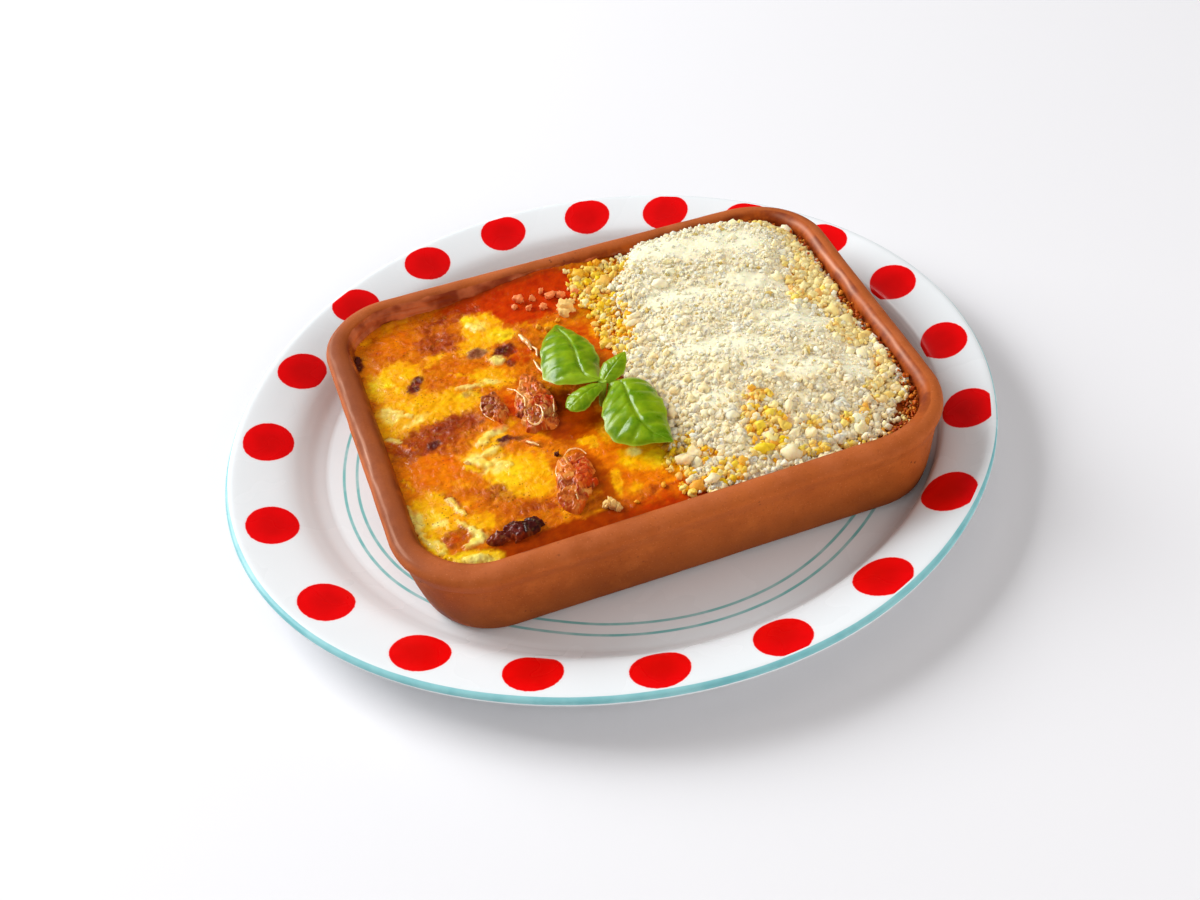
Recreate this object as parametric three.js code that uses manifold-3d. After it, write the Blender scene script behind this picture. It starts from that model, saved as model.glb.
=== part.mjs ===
import * as THREE from 'three';
import * as BufferGeometryUtils from 'three/addons/utils/BufferGeometryUtils.js';
import Module from 'manifold-3d';

// Baked lasagna in a shallow clay dish on a round dinner plate.
// Millimetres, +Z up, origin on the table under the middle of the plate's rim.

const wasm = await Module();
wasm.setup();

// ---------- named sizes ----------
const GAP = 0.3;                       // clearance between touching pieces

// plate
const PLATE_SEGMENTS = 72;
const PLATE_FLOOR_Z = 6.0;             // top of the flat well floor
const RIM_OFFSETS = [                  // hand-thrown rim: angle in degrees, how far it runs outside its circle
  [-180, 0.6], [-162, 1.6], [-142, 0.9], [-130, -0.5], [-115, -1.5], [-100, -1.0], [-82, 0.5], [-67, 0.8], [-50, 0.0],
  [-30, -0.5], [-15, -0.6], [5, 0.3], [25, 0.5], [60, 0.0], [78, 0.5], [95, 0.4], [110, -0.1], [125, -1.2],
  [140, -2.1], [155, -2.1], [167, -0.9], [180, 0.6],
];
const WELL_OFFSET = [6.5, -0.4];       // the well sits a little off the rim's centre
const PLATE_PROFILE = [                // radius, height, share of that offset: underside, foot, rim, well
  [100.0, 1.6, 1], [103.4, 1.0, 1], [104.4, 0.0, 1], [110.0, 0.0, 1], [111.2, 0.8, 1],
  [114.2, 3.2, 0.85], [120.4, 7.4, 0.4], [127.0, 10.6, 0.05], [135.0, 13.0, 0], [140.2, 14.1, 0],
  [142.0, 15.0, 0], [142.5, 16.2, 0], [141.9, 17.3, 0], [140.2, 17.8, 0], [137.4, 17.4, 0],
  [130.0, 15.6, 0], [123.6, 13.7, 0.12], [120.6, 12.0, 0.34], [118.4, 9.8, 0.58],
  [116.4, 7.6, 0.82], [113.4, PLATE_FLOOR_Z, 1],
];

// clay dish: a rounded rectangle with a soft, thick rim
const DISH_CENTRE = [7.6, -5.08];
const DISH_LENGTH = 199.6;
const DISH_WIDTH = 165.5;
const DISH_CORNERS = [31, 29, 33, 33]; // back right, back left, front left, front right
const DISH_SKEW_X = 0.014;             // long sides differ a little in length
const DISH_SKEW_Y = -0.024;            // right end a little narrower than the left
const CORNER_STEPS = 7;
const SIDE_STEPS = 4;
const DISH_BASE_Z = PLATE_FLOOR_Z + GAP;
const DISH_RIM_Z = 35.6;
const DISH_FLOOR_Z = 12.0;
const WALL_SIDES = { left: 0.5, right: -1.5, front: 1.0, back: -1.2 };  // how much thicker each side is
const FOOT_SPREAD = [3.3, 0.008];      // front wall stands steeper: reach of its foot, growing to the right
const DISH_OUTSIDE = [                 // inset from the widest outline, height, share of thickening, share of spread
  [34, DISH_BASE_Z, 0, 0], [10.4, DISH_BASE_Z, 0, 1], [8.0, 7.2, 0, 1], [6.5, 9.4, 0, 1], [4.7, 16.0, 0, 0.75],
  [2.7, 25.2, 0, 0.3], [1.9, 27.8, 0, 0.14], [1.0, 29.6, 0, 0.04], [0.25, 31.3, 0, 0], [0.0, 32.7, 0, 0],
  [0.7, 34.2, 0.1, 0], [2.3, 35.2, 0.3, 0], [4.4, DISH_RIM_Z, 0.6, 0], [6.4, 35.2, 0.85, 0], [7.9, 34.2, 1, 0],
];
const WALL_TOP = [8.8, 32.8];          // straight part of the inner wall: inset, height
const WALL_FOOT = [12.0, 15.6];
const DISH_INSIDE = [
  [...WALL_TOP, 1, 0], [...WALL_FOOT, 1, 0], [13.4, 13.2, 1, 0], [16.0, DISH_FLOOR_Z, 1, 0], [44, DISH_FLOOR_Z, 0, 0],
];

// food
const FOOD_LEVEL = 28.0;
const FOOD_BASE_Z = DISH_FLOOR_Z + GAP;
const FOOD_WAVES = [                   // x, y, spread x, spread y, rise
  [-6, 62, 24, 14, 2.0], [-56, 60, 26, 14, -0.5], [-40, -31, 17, 13, 1.1],
  [-35, 48, 18, 11, 0.8], [-73, 21, 12, 17, 0.7], [-76, -62, 13, 11, 0.8],
  [-20, -12, 12, 12, -0.7], [-14, -70, 32, 9, -0.9], [60, 0, 34, 46, 1.0],
  [0, 72, 17, 7, 4.0], [-61, 74, 8, 6, 1.0], [28, 74, 9, 6, 1.2],
];

// heap of grated cheese
const HEAP_CENTRE = [54, -3];
const HEAP_SEGMENTS = 48;
const HEAP_RINGS = 9;
const HEAP_THICKNESS = 7.4;
const HEAP_EDGE = 1.0;
const HEAP_REACH = [                   // direction in degrees, distance of the edge from the centre
  [-180, 43], [-166, 42], [-152, 44], [-139, 50.5], [-126, 67], [-120, 77], [-112, 77.5], [-104, 74.5], [-90, 72],
  [-78, 68], [-66, 65], [-56, 62], [-47, 61], [-38, 58], [-26, 50], [-14, 42.5], [-4, 40], [8, 44],
  [21, 48], [42, 62], [55, 74], [70, 76], [90, 76.5], [104, 77], [110, 72.5], [120, 60], [138, 47.5],
  [149, 44], [164, 42.5], [180, 43],
];
const HEAP_SLOPE = [2.6, 19];          // how late the heap falls off: towards its free sides, at the back wall
const HEAP_RIDGES = [                  // x, y, angle, half length, half width, rise
  [60, 44, -0.25, 40, 13, 1.9], [54, 10, -0.36, 42, 10, 1.3], [56, -30, -0.22, 44, 12, 1.5],
  [62, 64, -0.1, 24, 9, 1.5], [79, 62, -0.3, 13, 9, 1.6],
];

// pieces of meat and the charred piece on the surface: x, y, half sizes, turn, height, seed
const CHUNKS = {
  meat_chunk_1: [-26.6, -4.2, 8.0, 16.4, -0.1, 5.6, 3],
  meat_chunk_2: [-25.2, -49.4, 7.4, 13.6, -0.34, 4.8, 7],
  meat_chunk_3: [-40.6, 0.6, 4.6, 9.8, 0.1, 3.4, 5],
  charred_chunk: [-50.2, -63.8, 11.2, 4.8, 0.12, 3.2, 12],
};

// basil leaves: base and tip, half width, rise of the midrib, drop of the edges, lean
// (outline: place along the leaf, shift of its middle to the side, half width)
const LEAVES = [
  { base: [-2.0, -9.4, 35.6], tip: [-6.8, 32.3, 34.0], half: 11.0, arch: 3.0, cup: 3.6, lean: 0.04, outline: [
    [0, 0, 0.9], [0.06, -3.0, 4.4], [0.12, -4.7, 7.0], [0.2, -5.8, 9.2], [0.31, -5.9, 10.6], [0.42, -5.2, 11.05],
    [0.56, -3.9, 10.4], [0.7, -2.75, 8.9], [0.85, -1.8, 6.6], [0.93, -1.1, 4.4], [1, -0.2, 1.2]] },
  { base: [-0.5, -12.0, 35.6], tip: [10.5, -49.5, 34.2], half: 12.0, arch: 3.0, cup: 3.6, lean: 0.0, outline: [
    [0, -1.5, 1.6], [0.05, -4.2, 6.0], [0.12, -3.6, 8.4], [0.21, -2.4, 10.3], [0.37, 0.2, 11.9], [0.53, 2.4, 12.0],
    [0.69, 3.4, 10.1], [0.85, 2.6, 6.2], [1, 0, 0.7]] },
  { base: [-1.4, -10.0, 36.0], tip: [9.6, -3.2, 40.4], half: 4.4, arch: 1.0, cup: 1.4, lean: 0.1 },
  { base: [-2.6, -11.4, 35.6], tip: [-17.2, -16.8, 33.6], half: 5.0, arch: 1.6, cup: 1.6, lean: 0.0, outline: [
    [0, 0, 1.2], [0.2, 0.2, 3.4], [0.45, 0.4, 4.7], [0.7, 0.2, 4.9], [0.88, 0, 3.9], [1, 0, 1.6]] },
];
const STALK = [                        // x, y, height, radius
  [-3.6, -12.8, 26.5, 1.2], [-3.2, -12.4, 31.0, 1.25], [-2.4, -11.6, 34.2, 1.5], [-2.0, -11.0, 36.8, 1.7],
];
const LEAF_THICKNESS = 0.9;
const LEAF_STATIONS = 8;

// ---------- helpers ----------
const along = (table, t, column) => {   // value of a column at place t
  let k = 1;
  while (k < table.length - 1 && table[k][0] < t) k++;
  const [a, b] = [table[k - 1], table[k]];
  return a[column] + ((t - a[0]) / (b[0] - a[0])) * (b[column] - a[column]);
};
const smooth = (a, b, x) => {
  const t = Math.min(1, Math.max(0, (x - a) / (b - a)));
  return t * t * (3 - 2 * t);
};

// closed skin through equal rings, with a fan at each end
function ringSolid(rings, first, last) {
  const n = rings[0].length;
  const pos = [];
  const idx = [];
  rings.forEach((ring) => ring.forEach((p) => pos.push(p[0], p[1], p[2])));
  pos.push(...first, ...last);
  const c0 = rings.length * n;
  const c1 = c0 + 1;
  for (let k = 0; k + 1 < rings.length; k++) {
    for (let i = 0; i < n; i++) {
      const a = k * n + i;
      const b = k * n + ((i + 1) % n);
      idx.push(a, b, b + n, a, b + n, a + n);
    }
  }
  const top = (rings.length - 1) * n;
  for (let i = 0; i < n; i++) {
    idx.push(c0, (i + 1) % n, i);
    idx.push(c1, top + i, top + ((i + 1) % n));
  }
  return outward(pos, idx);
}

// turns the faces out where the signed volume is negative
function outward(pos, idx) {
  let v = 0;
  for (let t = 0; t < idx.length; t += 3) {
    const [a, b, c] = [idx[t] * 3, idx[t + 1] * 3, idx[t + 2] * 3];
    v += pos[a] * (pos[b + 1] * pos[c + 2] - pos[b + 2] * pos[c + 1])
       - pos[a + 1] * (pos[b] * pos[c + 2] - pos[b + 2] * pos[c])
       + pos[a + 2] * (pos[b] * pos[c + 1] - pos[b + 1] * pos[c]);
  }
  if (v < 0) {
    for (let t = 0; t < idx.length; t += 3) [idx[t + 1], idx[t + 2]] = [idx[t + 2], idx[t + 1]];
  }
  const g = new THREE.BufferGeometry();
  g.setAttribute('position', new THREE.Float32BufferAttribute(pos, 3));
  g.setIndex(idx);
  return g;
}

function toManifold(geometry) {
  const g = geometry.clone();
  g.deleteAttribute('normal');
  g.deleteAttribute('uv');
  const merged = BufferGeometryUtils.mergeVertices(g, 1e-4);
  return new wasm.Manifold(new wasm.Mesh({
    numProp: 3,
    vertProperties: Float32Array.from(merged.attributes.position.array),
    triVerts: Uint32Array.from(merged.index.array),
  }));
}

function fromManifold(solid) {
  const mesh = solid.getMesh();
  const g = new THREE.BufferGeometry();
  const pos = new Float32Array((mesh.vertProperties.length / mesh.numProp) * 3);
  for (let i = 0; i < pos.length / 3; i++) {
    for (let k = 0; k < 3; k++) pos[3 * i + k] = mesh.vertProperties[i * mesh.numProp + k];
  }
  g.setAttribute('position', new THREE.BufferAttribute(pos, 3));
  g.setIndex(new THREE.BufferAttribute(Uint32Array.from(mesh.triVerts), 1));
  return g;
}

// ---------- plate ----------
function platePoint([r, z, s], angle) {
  const degrees = (angle * 180) / Math.PI;
  let offset = 0;                      // mean of five nearby places, so that the edge stays round
  for (let k = -2; k <= 2; k++) offset += along(RIM_OFFSETS, ((degrees + 5 * k + 540) % 360) - 180, 1) / 5;
  const radius = r + offset * smooth(112, 140, r);
  return [radius * Math.cos(angle) + WELL_OFFSET[0] * s, radius * Math.sin(angle) + WELL_OFFSET[1] * s, z];
}

function plate() {
  const rings = PLATE_PROFILE.map((row) => {
    const ring = [];
    for (let i = 0; i < PLATE_SEGMENTS; i++) ring.push(platePoint(row, (2 * Math.PI * i) / PLATE_SEGMENTS));
    return ring;
  });
  return ringSolid(rings, [WELL_OFFSET[0], WELL_OFFSET[1], 1.8], [WELL_OFFSET[0], WELL_OFFSET[1], PLATE_FLOOR_Z]);
}

// ---------- clay dish ----------
function dishOutline(inset, thick = 0, spread = 0) {
  const hx = DISH_LENGTH / 2 - inset;
  const hy = DISH_WIDTH / 2 - inset;
  const raw = [];
  const signs = [[1, 1], [-1, 1], [-1, -1], [1, -1]];
  const radius = DISH_CORNERS.map((r) => Math.max(4, r - inset));
  signs.forEach(([sx, sy], quarter) => {
    const r = radius[quarter];
    for (let i = 0; i <= CORNER_STEPS; i++) {
      const a = (quarter + i / CORNER_STEPS) * (Math.PI / 2);
      raw.push([sx * (hx - r) + r * Math.cos(a), sy * (hy - r) + r * Math.sin(a)]);
    }
    const [ex, ey] = raw[raw.length - 1];
    const after = radius[(quarter + 1) % 4];
    const next = quarter % 2 === 0 ? [-sx * (hx - after), ey] : [ex, -sy * (hy - after)];
    for (let i = 1; i < SIDE_STEPS; i++) {
      const t = i / SIDE_STEPS;
      raw.push([ex + (next[0] - ex) * t, ey + (next[1] - ey) * t]);
    }
  });
  return raw.map(([x0, y0]) => {
    const share = (v, h) => smooth(0.45, 1, v / h);
    const x = x0 + thick * (WALL_SIDES.left * share(-x0, hx) - WALL_SIDES.right * share(x0, hx));
    const y = y0 + thick * (WALL_SIDES.front * share(-y0, hy) - WALL_SIDES.back * share(y0, hy))
      - spread * (FOOT_SPREAD[0] + FOOT_SPREAD[1] * x0) * share(-y0, hy);
    return [
      DISH_CENTRE[0] + x * (1 + DISH_SKEW_X * y / (DISH_WIDTH / 2)),
      DISH_CENTRE[1] + y * (1 + DISH_SKEW_Y * x / (DISH_LENGTH / 2)),
    ];
  });
}

function clayDish() {
  const rings = [...DISH_OUTSIDE, ...DISH_INSIDE].map(([inset, z, thick, spread]) => (
    dishOutline(inset, thick, spread).map(([x, y]) => [x, y, z])));
  return ringSolid(rings, [...DISH_CENTRE, DISH_BASE_Z], [...DISH_CENTRE, DISH_FLOOR_Z]);
}

const wallInset = (z) => WALL_FOOT[0] + ((z - WALL_FOOT[1]) / (WALL_TOP[1] - WALL_FOOT[1])) * (WALL_TOP[0] - WALL_FOOT[0]);

// ---------- lasagna ----------
function foodHeight(x, y) {
  let z = FOOD_LEVEL + 0.3 * Math.sin(0.11 * x + 0.07 * y) + 0.25 * Math.sin(0.16 * y - 0.05 * x + 1.2);
  FOOD_WAVES.forEach(([cx, cy, sx, sy, rise]) => {
    z += rise * Math.exp(-0.5 * (((x - cx) / sx) ** 2 + ((y - cy) / sy) ** 2));
  });
  return z;
}

function lasagna() {
  const level = (inset, z) => dishOutline(inset, inset < 20 ? 1 : 0).map(([x, y]) => [x, y, z]);
  const clear = GAP + 0.12;
  const rings = [
    level(44, FOOD_BASE_Z), level(16.0 + clear, FOOD_BASE_Z), level(13.4 + clear, 13.3),
    level(WALL_FOOT[0] + clear, WALL_FOOT[1]),
  ];
  const edgeInset = wallInset(27.2) + clear;
  const edge = dishOutline(edgeInset, 1);
  rings.push(edge.map(([x, y]) => [x, y, Math.min(27.2, foodHeight(x, y) - 0.6)]));
  [0.99, 0.955, 0.9, 0.82, 0.73, 0.63, 0.53, 0.42, 0.3, 0.16].forEach((s) => {
    rings.push(edge.map(([x, y]) => {
      const px = DISH_CENTRE[0] + (x - DISH_CENTRE[0]) * s;
      const py = DISH_CENTRE[1] + (y - DISH_CENTRE[1]) * s;
      return [px, py, foodHeight(px, py) - (s > 0.98 ? 0.15 : 0)];
    }));
  });
  return ringSolid(rings, [...DISH_CENTRE, FOOD_BASE_Z], [...DISH_CENTRE, foodHeight(...DISH_CENTRE)]);
}

// ---------- heap of grated cheese ----------
// right part follows the dish wall, left edge wanders
function heapOutline(angle) {
  const turn = ((angle * 180) / Math.PI + 540) % 360 - 180;
  const r = along(HEAP_REACH, turn, 1) + 0.9 * Math.sin(9 * angle);
  return [HEAP_CENTRE[0] + r * Math.cos(angle), HEAP_CENTRE[1] + r * Math.sin(angle)];
}

function heapRise(x, y, s) {
  let t = HEAP_THICKNESS;
  HEAP_RIDGES.forEach(([cx, cy, angle, hl, hw, rise]) => {
    const u = (x - cx) * Math.cos(angle) + (y - cy) * Math.sin(angle);
    const v = -(x - cx) * Math.sin(angle) + (y - cy) * Math.cos(angle);
    t += rise * Math.exp(-0.5 * ((u / hl) ** 2 + (v / hw) ** 2)) - 0.35;
  });
  t += 0.35 * Math.sin(0.31 * x + 0.9) * Math.sin(0.27 * y + 0.4);
  const back = smooth(0.75, 0.93, (y - HEAP_CENTRE[1]) / Math.max(1, Math.hypot(x - HEAP_CENTRE[0], y - HEAP_CENTRE[1])));
  return HEAP_EDGE + t * (1 - s ** (HEAP_SLOPE[0] + (HEAP_SLOPE[1] - HEAP_SLOPE[0]) * back));
}

function heapBlock() {
  const outline = [];
  for (let i = 0; i < HEAP_SEGMENTS; i++) outline.push(heapOutline((2 * Math.PI * i) / HEAP_SEGMENTS));
  const under = 24;
  const rings = [outline.map(([x, y]) => [x, y, under])];
  for (let k = HEAP_RINGS; k > 0; k--) {
    const s = (k / HEAP_RINGS) ** 0.8;
    rings.push(outline.map(([x, y]) => {
      const px = HEAP_CENTRE[0] + (x - HEAP_CENTRE[0]) * s;
      const py = HEAP_CENTRE[1] + (y - HEAP_CENTRE[1]) * s;
      return [px, py, foodHeight(px, py) + GAP + heapRise(px, py, s)];
    }));
  }
  return ringSolid(rings, [...HEAP_CENTRE, under],
    [...HEAP_CENTRE, foodHeight(...HEAP_CENTRE) + GAP + heapRise(...HEAP_CENTRE, 0)]);
}

// room that the heap has inside the dish
function heapBounds() {
  const outline = dishOutline(wallInset(24) + 0.9, 1);
  const rings = [22, 60].map((z) => outline.map(([x, y]) => [x, y, z]));
  return ringSolid(rings, [...DISH_CENTRE, 22], [...DISH_CENTRE, 60]);
}

// ---------- pieces on the surface ----------
function chunk([cx, cy, hx, hy, turn, height, seed]) {
  const n = 16;
  const steps = 6;
  const base = foodHeight(cx, cy) - 3.0;
  const rings = [];
  for (let k = 0; k < steps; k++) {
    const lat = (k / steps) * (Math.PI / 2);
    const ring = [];
    for (let i = 0; i < n; i++) {
      const a = (2 * Math.PI * i) / n;
      const lump = 1 + 0.10 * Math.sin(3 * a + seed) + 0.07 * Math.sin(5 * a + 2 * seed + 2 * lat);
      const w = Math.cos(lat) ** 0.7 * lump;
      const x = hx * w * Math.cos(a);
      const y = hy * w * Math.sin(a);
      const z = (height + 3.0) * Math.sin(lat) * (1 + 0.06 * Math.sin(2 * a + seed * 1.7));
      ring.push([cx + x * Math.cos(turn) - y * Math.sin(turn), cy + x * Math.sin(turn) + y * Math.cos(turn), base + z]);
    }
    rings.push(ring);
  }
  return ringSolid(rings, [cx, cy, base], [cx, cy, base + (height + 3.0)]);
}

// ---------- basil ----------
function leaf({ base, tip, half, arch, cup, lean, outline }) {
  const b = new THREE.Vector3(...base);
  const axis = new THREE.Vector3(...tip).sub(b);
  const length = axis.length();
  const ahead = axis.clone().normalize();
  const across = new THREE.Vector3(0, 0, 1).cross(ahead).normalize();
  const up = ahead.clone().cross(across).normalize().applyAxisAngle(ahead, lean);
  const side = up.clone().cross(ahead).negate().normalize();
  const columns = 4;
  const rings = [];
  for (let k = 0; k <= LEAF_STATIONS; k++) {
    const t = k / LEAF_STATIONS;
    // full in the lower half, drawn out to the tip
    const w = outline ? along(outline, t, 2)
      : half * Math.max(0.06, Math.sin(Math.PI * Math.min(1, 0.08 + 0.92 * t) ** 0.82) ** 0.72);
    const shift = outline ? along(outline, t, 1) : 0;
    const rise = arch * Math.sin(Math.PI * t ** 0.9);
    const ring = [];
    const put = (v, lift) => {
      const q = b.clone().addScaledVector(ahead, t * length).addScaledVector(side, shift + v * w)
        .addScaledVector(up, rise - cup * (w / half) * v * v + lift);
      ring.push([q.x, q.y, q.z]);
    };
    for (let j = 0; j <= columns; j++) put(-1 + (2 * j) / columns, LEAF_THICKNESS / 2);
    for (let j = columns; j >= 0; j--) put(-1 + (2 * j) / columns, -LEAF_THICKNESS / 2);
    rings.push(ring);
  }
  const mid = (ring) => ring.reduce((m, p) => [m[0] + p[0] / ring.length, m[1] + p[1] / ring.length, m[2] + p[2] / ring.length], [0, 0, 0]);
  return ringSolid(rings, mid(rings[0]), mid(rings[rings.length - 1]));
}

// short stalk from the leaves down to the food
function stalk() {
  const rings = [];
  const n = 8;
  STALK.forEach(([x, y, z, r]) => {
    const ring = [];
    for (let i = 0; i < n; i++) ring.push([x + r * Math.cos((2 * Math.PI * i) / n), y + r * Math.sin((2 * Math.PI * i) / n), z]);
    rings.push(ring);
  });
  return ringSolid(rings, STALK[0].slice(0, 3), STALK[STALK.length - 1].slice(0, 3));
}

// ---------- assembly ----------
const lift = (solid, dz) => solid.translate([0, 0, dz]);

const foodSolid = toManifold(lasagna());
const heapSolid = toManifold(heapBlock()).intersect(toManifold(heapBounds())).subtract(lift(foodSolid, GAP));
const covers = [lift(foodSolid, GAP), lift(heapSolid, GAP)];
const chunkSolids = Object.fromEntries(Object.entries(CHUNKS).map(([name, spec]) => {
  const solid = toManifold(chunk(spec)).subtract(lift(foodSolid, GAP));
  return [name, solid];
}));
let basilSolid = LEAVES.map((spec) => toManifold(leaf(spec))).reduce((a, s) => a.add(s), toManifold(stalk()));
[...covers, ...Object.values(chunkSolids).map((s) => lift(s, GAP))].forEach((s) => { basilSolid = basilSolid.subtract(s); });

function named(name, geometry, color, roughness) {
  const mesh = new THREE.Mesh(geometry, new THREE.MeshStandardMaterial({ color, roughness, metalness: 0 }));
  mesh.name = name;
  return mesh;
}

const group = new THREE.Group();
group.name = 'plate_of_lasagna';
group.add(named('plate', plate(), 0xf1f2f3, 0.12));
group.add(named('clay_dish', clayDish(), 0xa5552c, 0.6));
group.add(named('lasagna', fromManifold(foodSolid), 0xc9720f, 0.3));
group.add(named('grated_cheese', fromManifold(heapSolid), 0xf0e6b8, 0.75));
group.add(named('meat_chunk_1', fromManifold(chunkSolids.meat_chunk_1), 0x93380f, 0.35));
group.add(named('meat_chunk_2', fromManifold(chunkSolids.meat_chunk_2), 0xa84412, 0.35));
group.add(named('meat_chunk_3', fromManifold(chunkSolids.meat_chunk_3), 0x7a2a1e, 0.35));
group.add(named('charred_chunk', fromManifold(chunkSolids.charred_chunk), 0x3a1512, 0.4));
group.add(named('basil_sprig', fromManifold(basilSolid), 0x4c8f1c, 0.35));

group.children.forEach((m) => { m.geometry.computeVertexNormals(); });

export default group;
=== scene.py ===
import math

import bpy
import numpy as np
from mathutils import Matrix


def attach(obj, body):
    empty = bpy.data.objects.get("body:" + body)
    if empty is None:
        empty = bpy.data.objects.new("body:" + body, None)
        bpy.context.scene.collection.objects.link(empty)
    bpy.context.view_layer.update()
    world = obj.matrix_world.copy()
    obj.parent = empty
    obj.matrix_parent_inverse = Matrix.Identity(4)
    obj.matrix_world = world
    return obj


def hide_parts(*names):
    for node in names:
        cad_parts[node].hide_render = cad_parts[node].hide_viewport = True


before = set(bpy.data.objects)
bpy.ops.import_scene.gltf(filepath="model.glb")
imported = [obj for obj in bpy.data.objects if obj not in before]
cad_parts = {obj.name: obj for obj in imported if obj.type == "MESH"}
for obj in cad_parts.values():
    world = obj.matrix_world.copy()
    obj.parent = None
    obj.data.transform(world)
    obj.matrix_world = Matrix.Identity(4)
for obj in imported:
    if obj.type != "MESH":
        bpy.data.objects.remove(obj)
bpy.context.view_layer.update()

MM = 0.001
rng = np.random.default_rng(20240611)


# ------------------------------------------------------------------ numbers
def lin(r, g, b):
    """Screen colour 0-255 to linear."""
    out = []
    for v in (r, g, b):
        v = v / 255.0
        out.append(v / 12.92 if v <= 0.04045 else ((v + 0.055) / 1.055) ** 2.4)
    return out


def smooth(a, b, x):
    t = np.clip((x - a) / (b - a), 0.0, 1.0)
    return t * t * (3 - 2 * t)


def hashed(ix, iy, iz, seed):
    with np.errstate(over="ignore"):
        h = ix.astype(np.int64).astype(np.uint64) * np.uint64(73856093)
        h ^= iy.astype(np.int64).astype(np.uint64) * np.uint64(19349663)
        h ^= iz.astype(np.int64).astype(np.uint64) * np.uint64(83492791)
        h ^= np.uint64(seed * 2654435761 + 12345)
        h &= np.uint64(0xFFFFFFFF)
        h ^= h >> np.uint64(15)
        h = (h * np.uint64(2246822519)) & np.uint64(0xFFFFFFFF)
        h ^= h >> np.uint64(13)
        h = (h * np.uint64(3266489917)) & np.uint64(0xFFFFFFFF)
        h ^= h >> np.uint64(16)
    return h.astype(np.float64) / 4294967295.0


def noise2(x, y, seed=0):
    """Gradient noise, about -1 to 1."""
    xi, yi = np.floor(x), np.floor(y)
    fx, fy = x - xi, y - yi
    zero = np.zeros_like(xi)

    def corner(dx, dy):
        a = hashed(xi + dx, yi + dy, zero, seed) * 2 * math.pi
        return np.cos(a) * (fx - dx) + np.sin(a) * (fy - dy)

    u = fx * fx * fx * (fx * (fx * 6 - 15) + 10)
    v = fy * fy * fy * (fy * (fy * 6 - 15) + 10)
    a = corner(0, 0) * (1 - u) + corner(1, 0) * u
    b = corner(0, 1) * (1 - u) + corner(1, 1) * u
    return (a * (1 - v) + b * v) * 1.45


def noise3(x, y, z, seed=0):
    """Value noise in space, -1 to 1."""
    xi, yi, zi = np.floor(x), np.floor(y), np.floor(z)
    u, v, w = x - xi, y - yi, z - zi
    u, v, w = (t * t * (3 - 2 * t) for t in (u, v, w))
    out = 0
    for dx in (0, 1):
        for dy in (0, 1):
            for dz in (0, 1):
                k = (u if dx else 1 - u) * (v if dy else 1 - v) * (w if dz else 1 - w)
                out = out + k * hashed(xi + dx, yi + dy, zi + dz, seed)
    return out * 2 - 1


def fbm2(x, y, octaves=4, seed=0, gain=0.5):
    total, amp, norm = 0, 1.0, 0
    for k in range(octaves):
        total = total + amp * noise2(x * 2 ** k + 17.3 * k, y * 2 ** k - 9.1 * k, seed + k)
        norm += amp
        amp *= gain
    return total / norm


def fbm3(x, y, z, octaves=3, seed=0, gain=0.5):
    total, amp, norm = 0, 1.0, 0
    for k in range(octaves):
        f = 2 ** k
        total = total + amp * noise3(x * f + 3.1 * k, y * f, z * f, seed + k)
        norm += amp
        amp *= gain
    return total / norm


def cells2(x, y, seed=0):
    """Distance to the nearest scattered point of a unit grid, and that cell's number 0-1."""
    xi, yi = np.floor(x), np.floor(y)
    best = np.full(x.shape, 9.0)
    tag = np.zeros(x.shape)
    zero = np.zeros_like(xi)
    for dx in (-1, 0, 1):
        for dy in (-1, 0, 1):
            cx, cy = xi + dx, yi + dy
            px = cx + 0.1 + 0.8 * hashed(cx, cy, zero, seed)
            py = cy + 0.1 + 0.8 * hashed(cx, cy, zero + 1, seed)
            d = np.hypot(x - px, y - py)
            near = d < best
            best = np.where(near, d, best)
            tag = np.where(near, hashed(cx, cy, zero + 2, seed), tag)
    return best, tag


def curve_through(points, per_span):
    """Rounded line through the points (Catmull-Rom), the points kept."""
    p = np.array(points, float)
    p = np.vstack([2 * p[0] - p[1], p, 2 * p[-1] - p[-2]])
    out = []
    for i in range(1, len(p) - 2):
        a, b, c, d = p[i - 1], p[i], p[i + 1], p[i + 2]
        for k in range(per_span):
            t = k / per_span
            out.append(0.5 * ((2 * b) + (c - a) * t + (2 * a - 5 * b + 4 * c - d) * t * t
                              + (3 * b - a - 3 * c + d) * t ** 3))
    out.append(p[-2])
    return np.array(out)


# ------------------------------------------------------------------ meshes
def new_mesh(name, verts_mm, faces, slot, material, smooth_shade=True):
    """faces: list of index arrays, each (n, 3) or (n, 4)."""
    verts = np.ascontiguousarray(np.asarray(verts_mm, np.float32) * MM)
    faces = [np.asarray(f, np.int32) for f in (faces if isinstance(faces, list) else [faces])]
    loops = np.concatenate([f.ravel() for f in faces])
    totals = np.concatenate([np.full(len(f), f.shape[1], np.int32) for f in faces])
    starts = np.concatenate([[0], np.cumsum(totals)[:-1]]).astype(np.int32)
    me = bpy.data.meshes.new(name)
    me.vertices.add(len(verts))
    me.vertices.foreach_set("co", verts.ravel())
    me.loops.add(len(loops))
    me.loops.foreach_set("vertex_index", loops)
    me.polygons.add(len(totals))
    me.polygons.foreach_set("loop_start", starts)
    me.polygons.foreach_set("loop_total", totals)
    me.polygons.foreach_set("use_smooth", np.full(len(totals), smooth_shade))
    me.update(calc_edges=True)
    me.validate()
    ob = bpy.data.objects.new(name, me)
    bpy.context.scene.collection.objects.link(ob)
    me.materials.append(material)
    if slot:
        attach(ob, "root")
    return ob


def put_float(ob, name, values):
    a = ob.data.attributes.new(name, "FLOAT", "POINT")
    a.data.foreach_set("value", np.asarray(values, np.float32).ravel())


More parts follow.
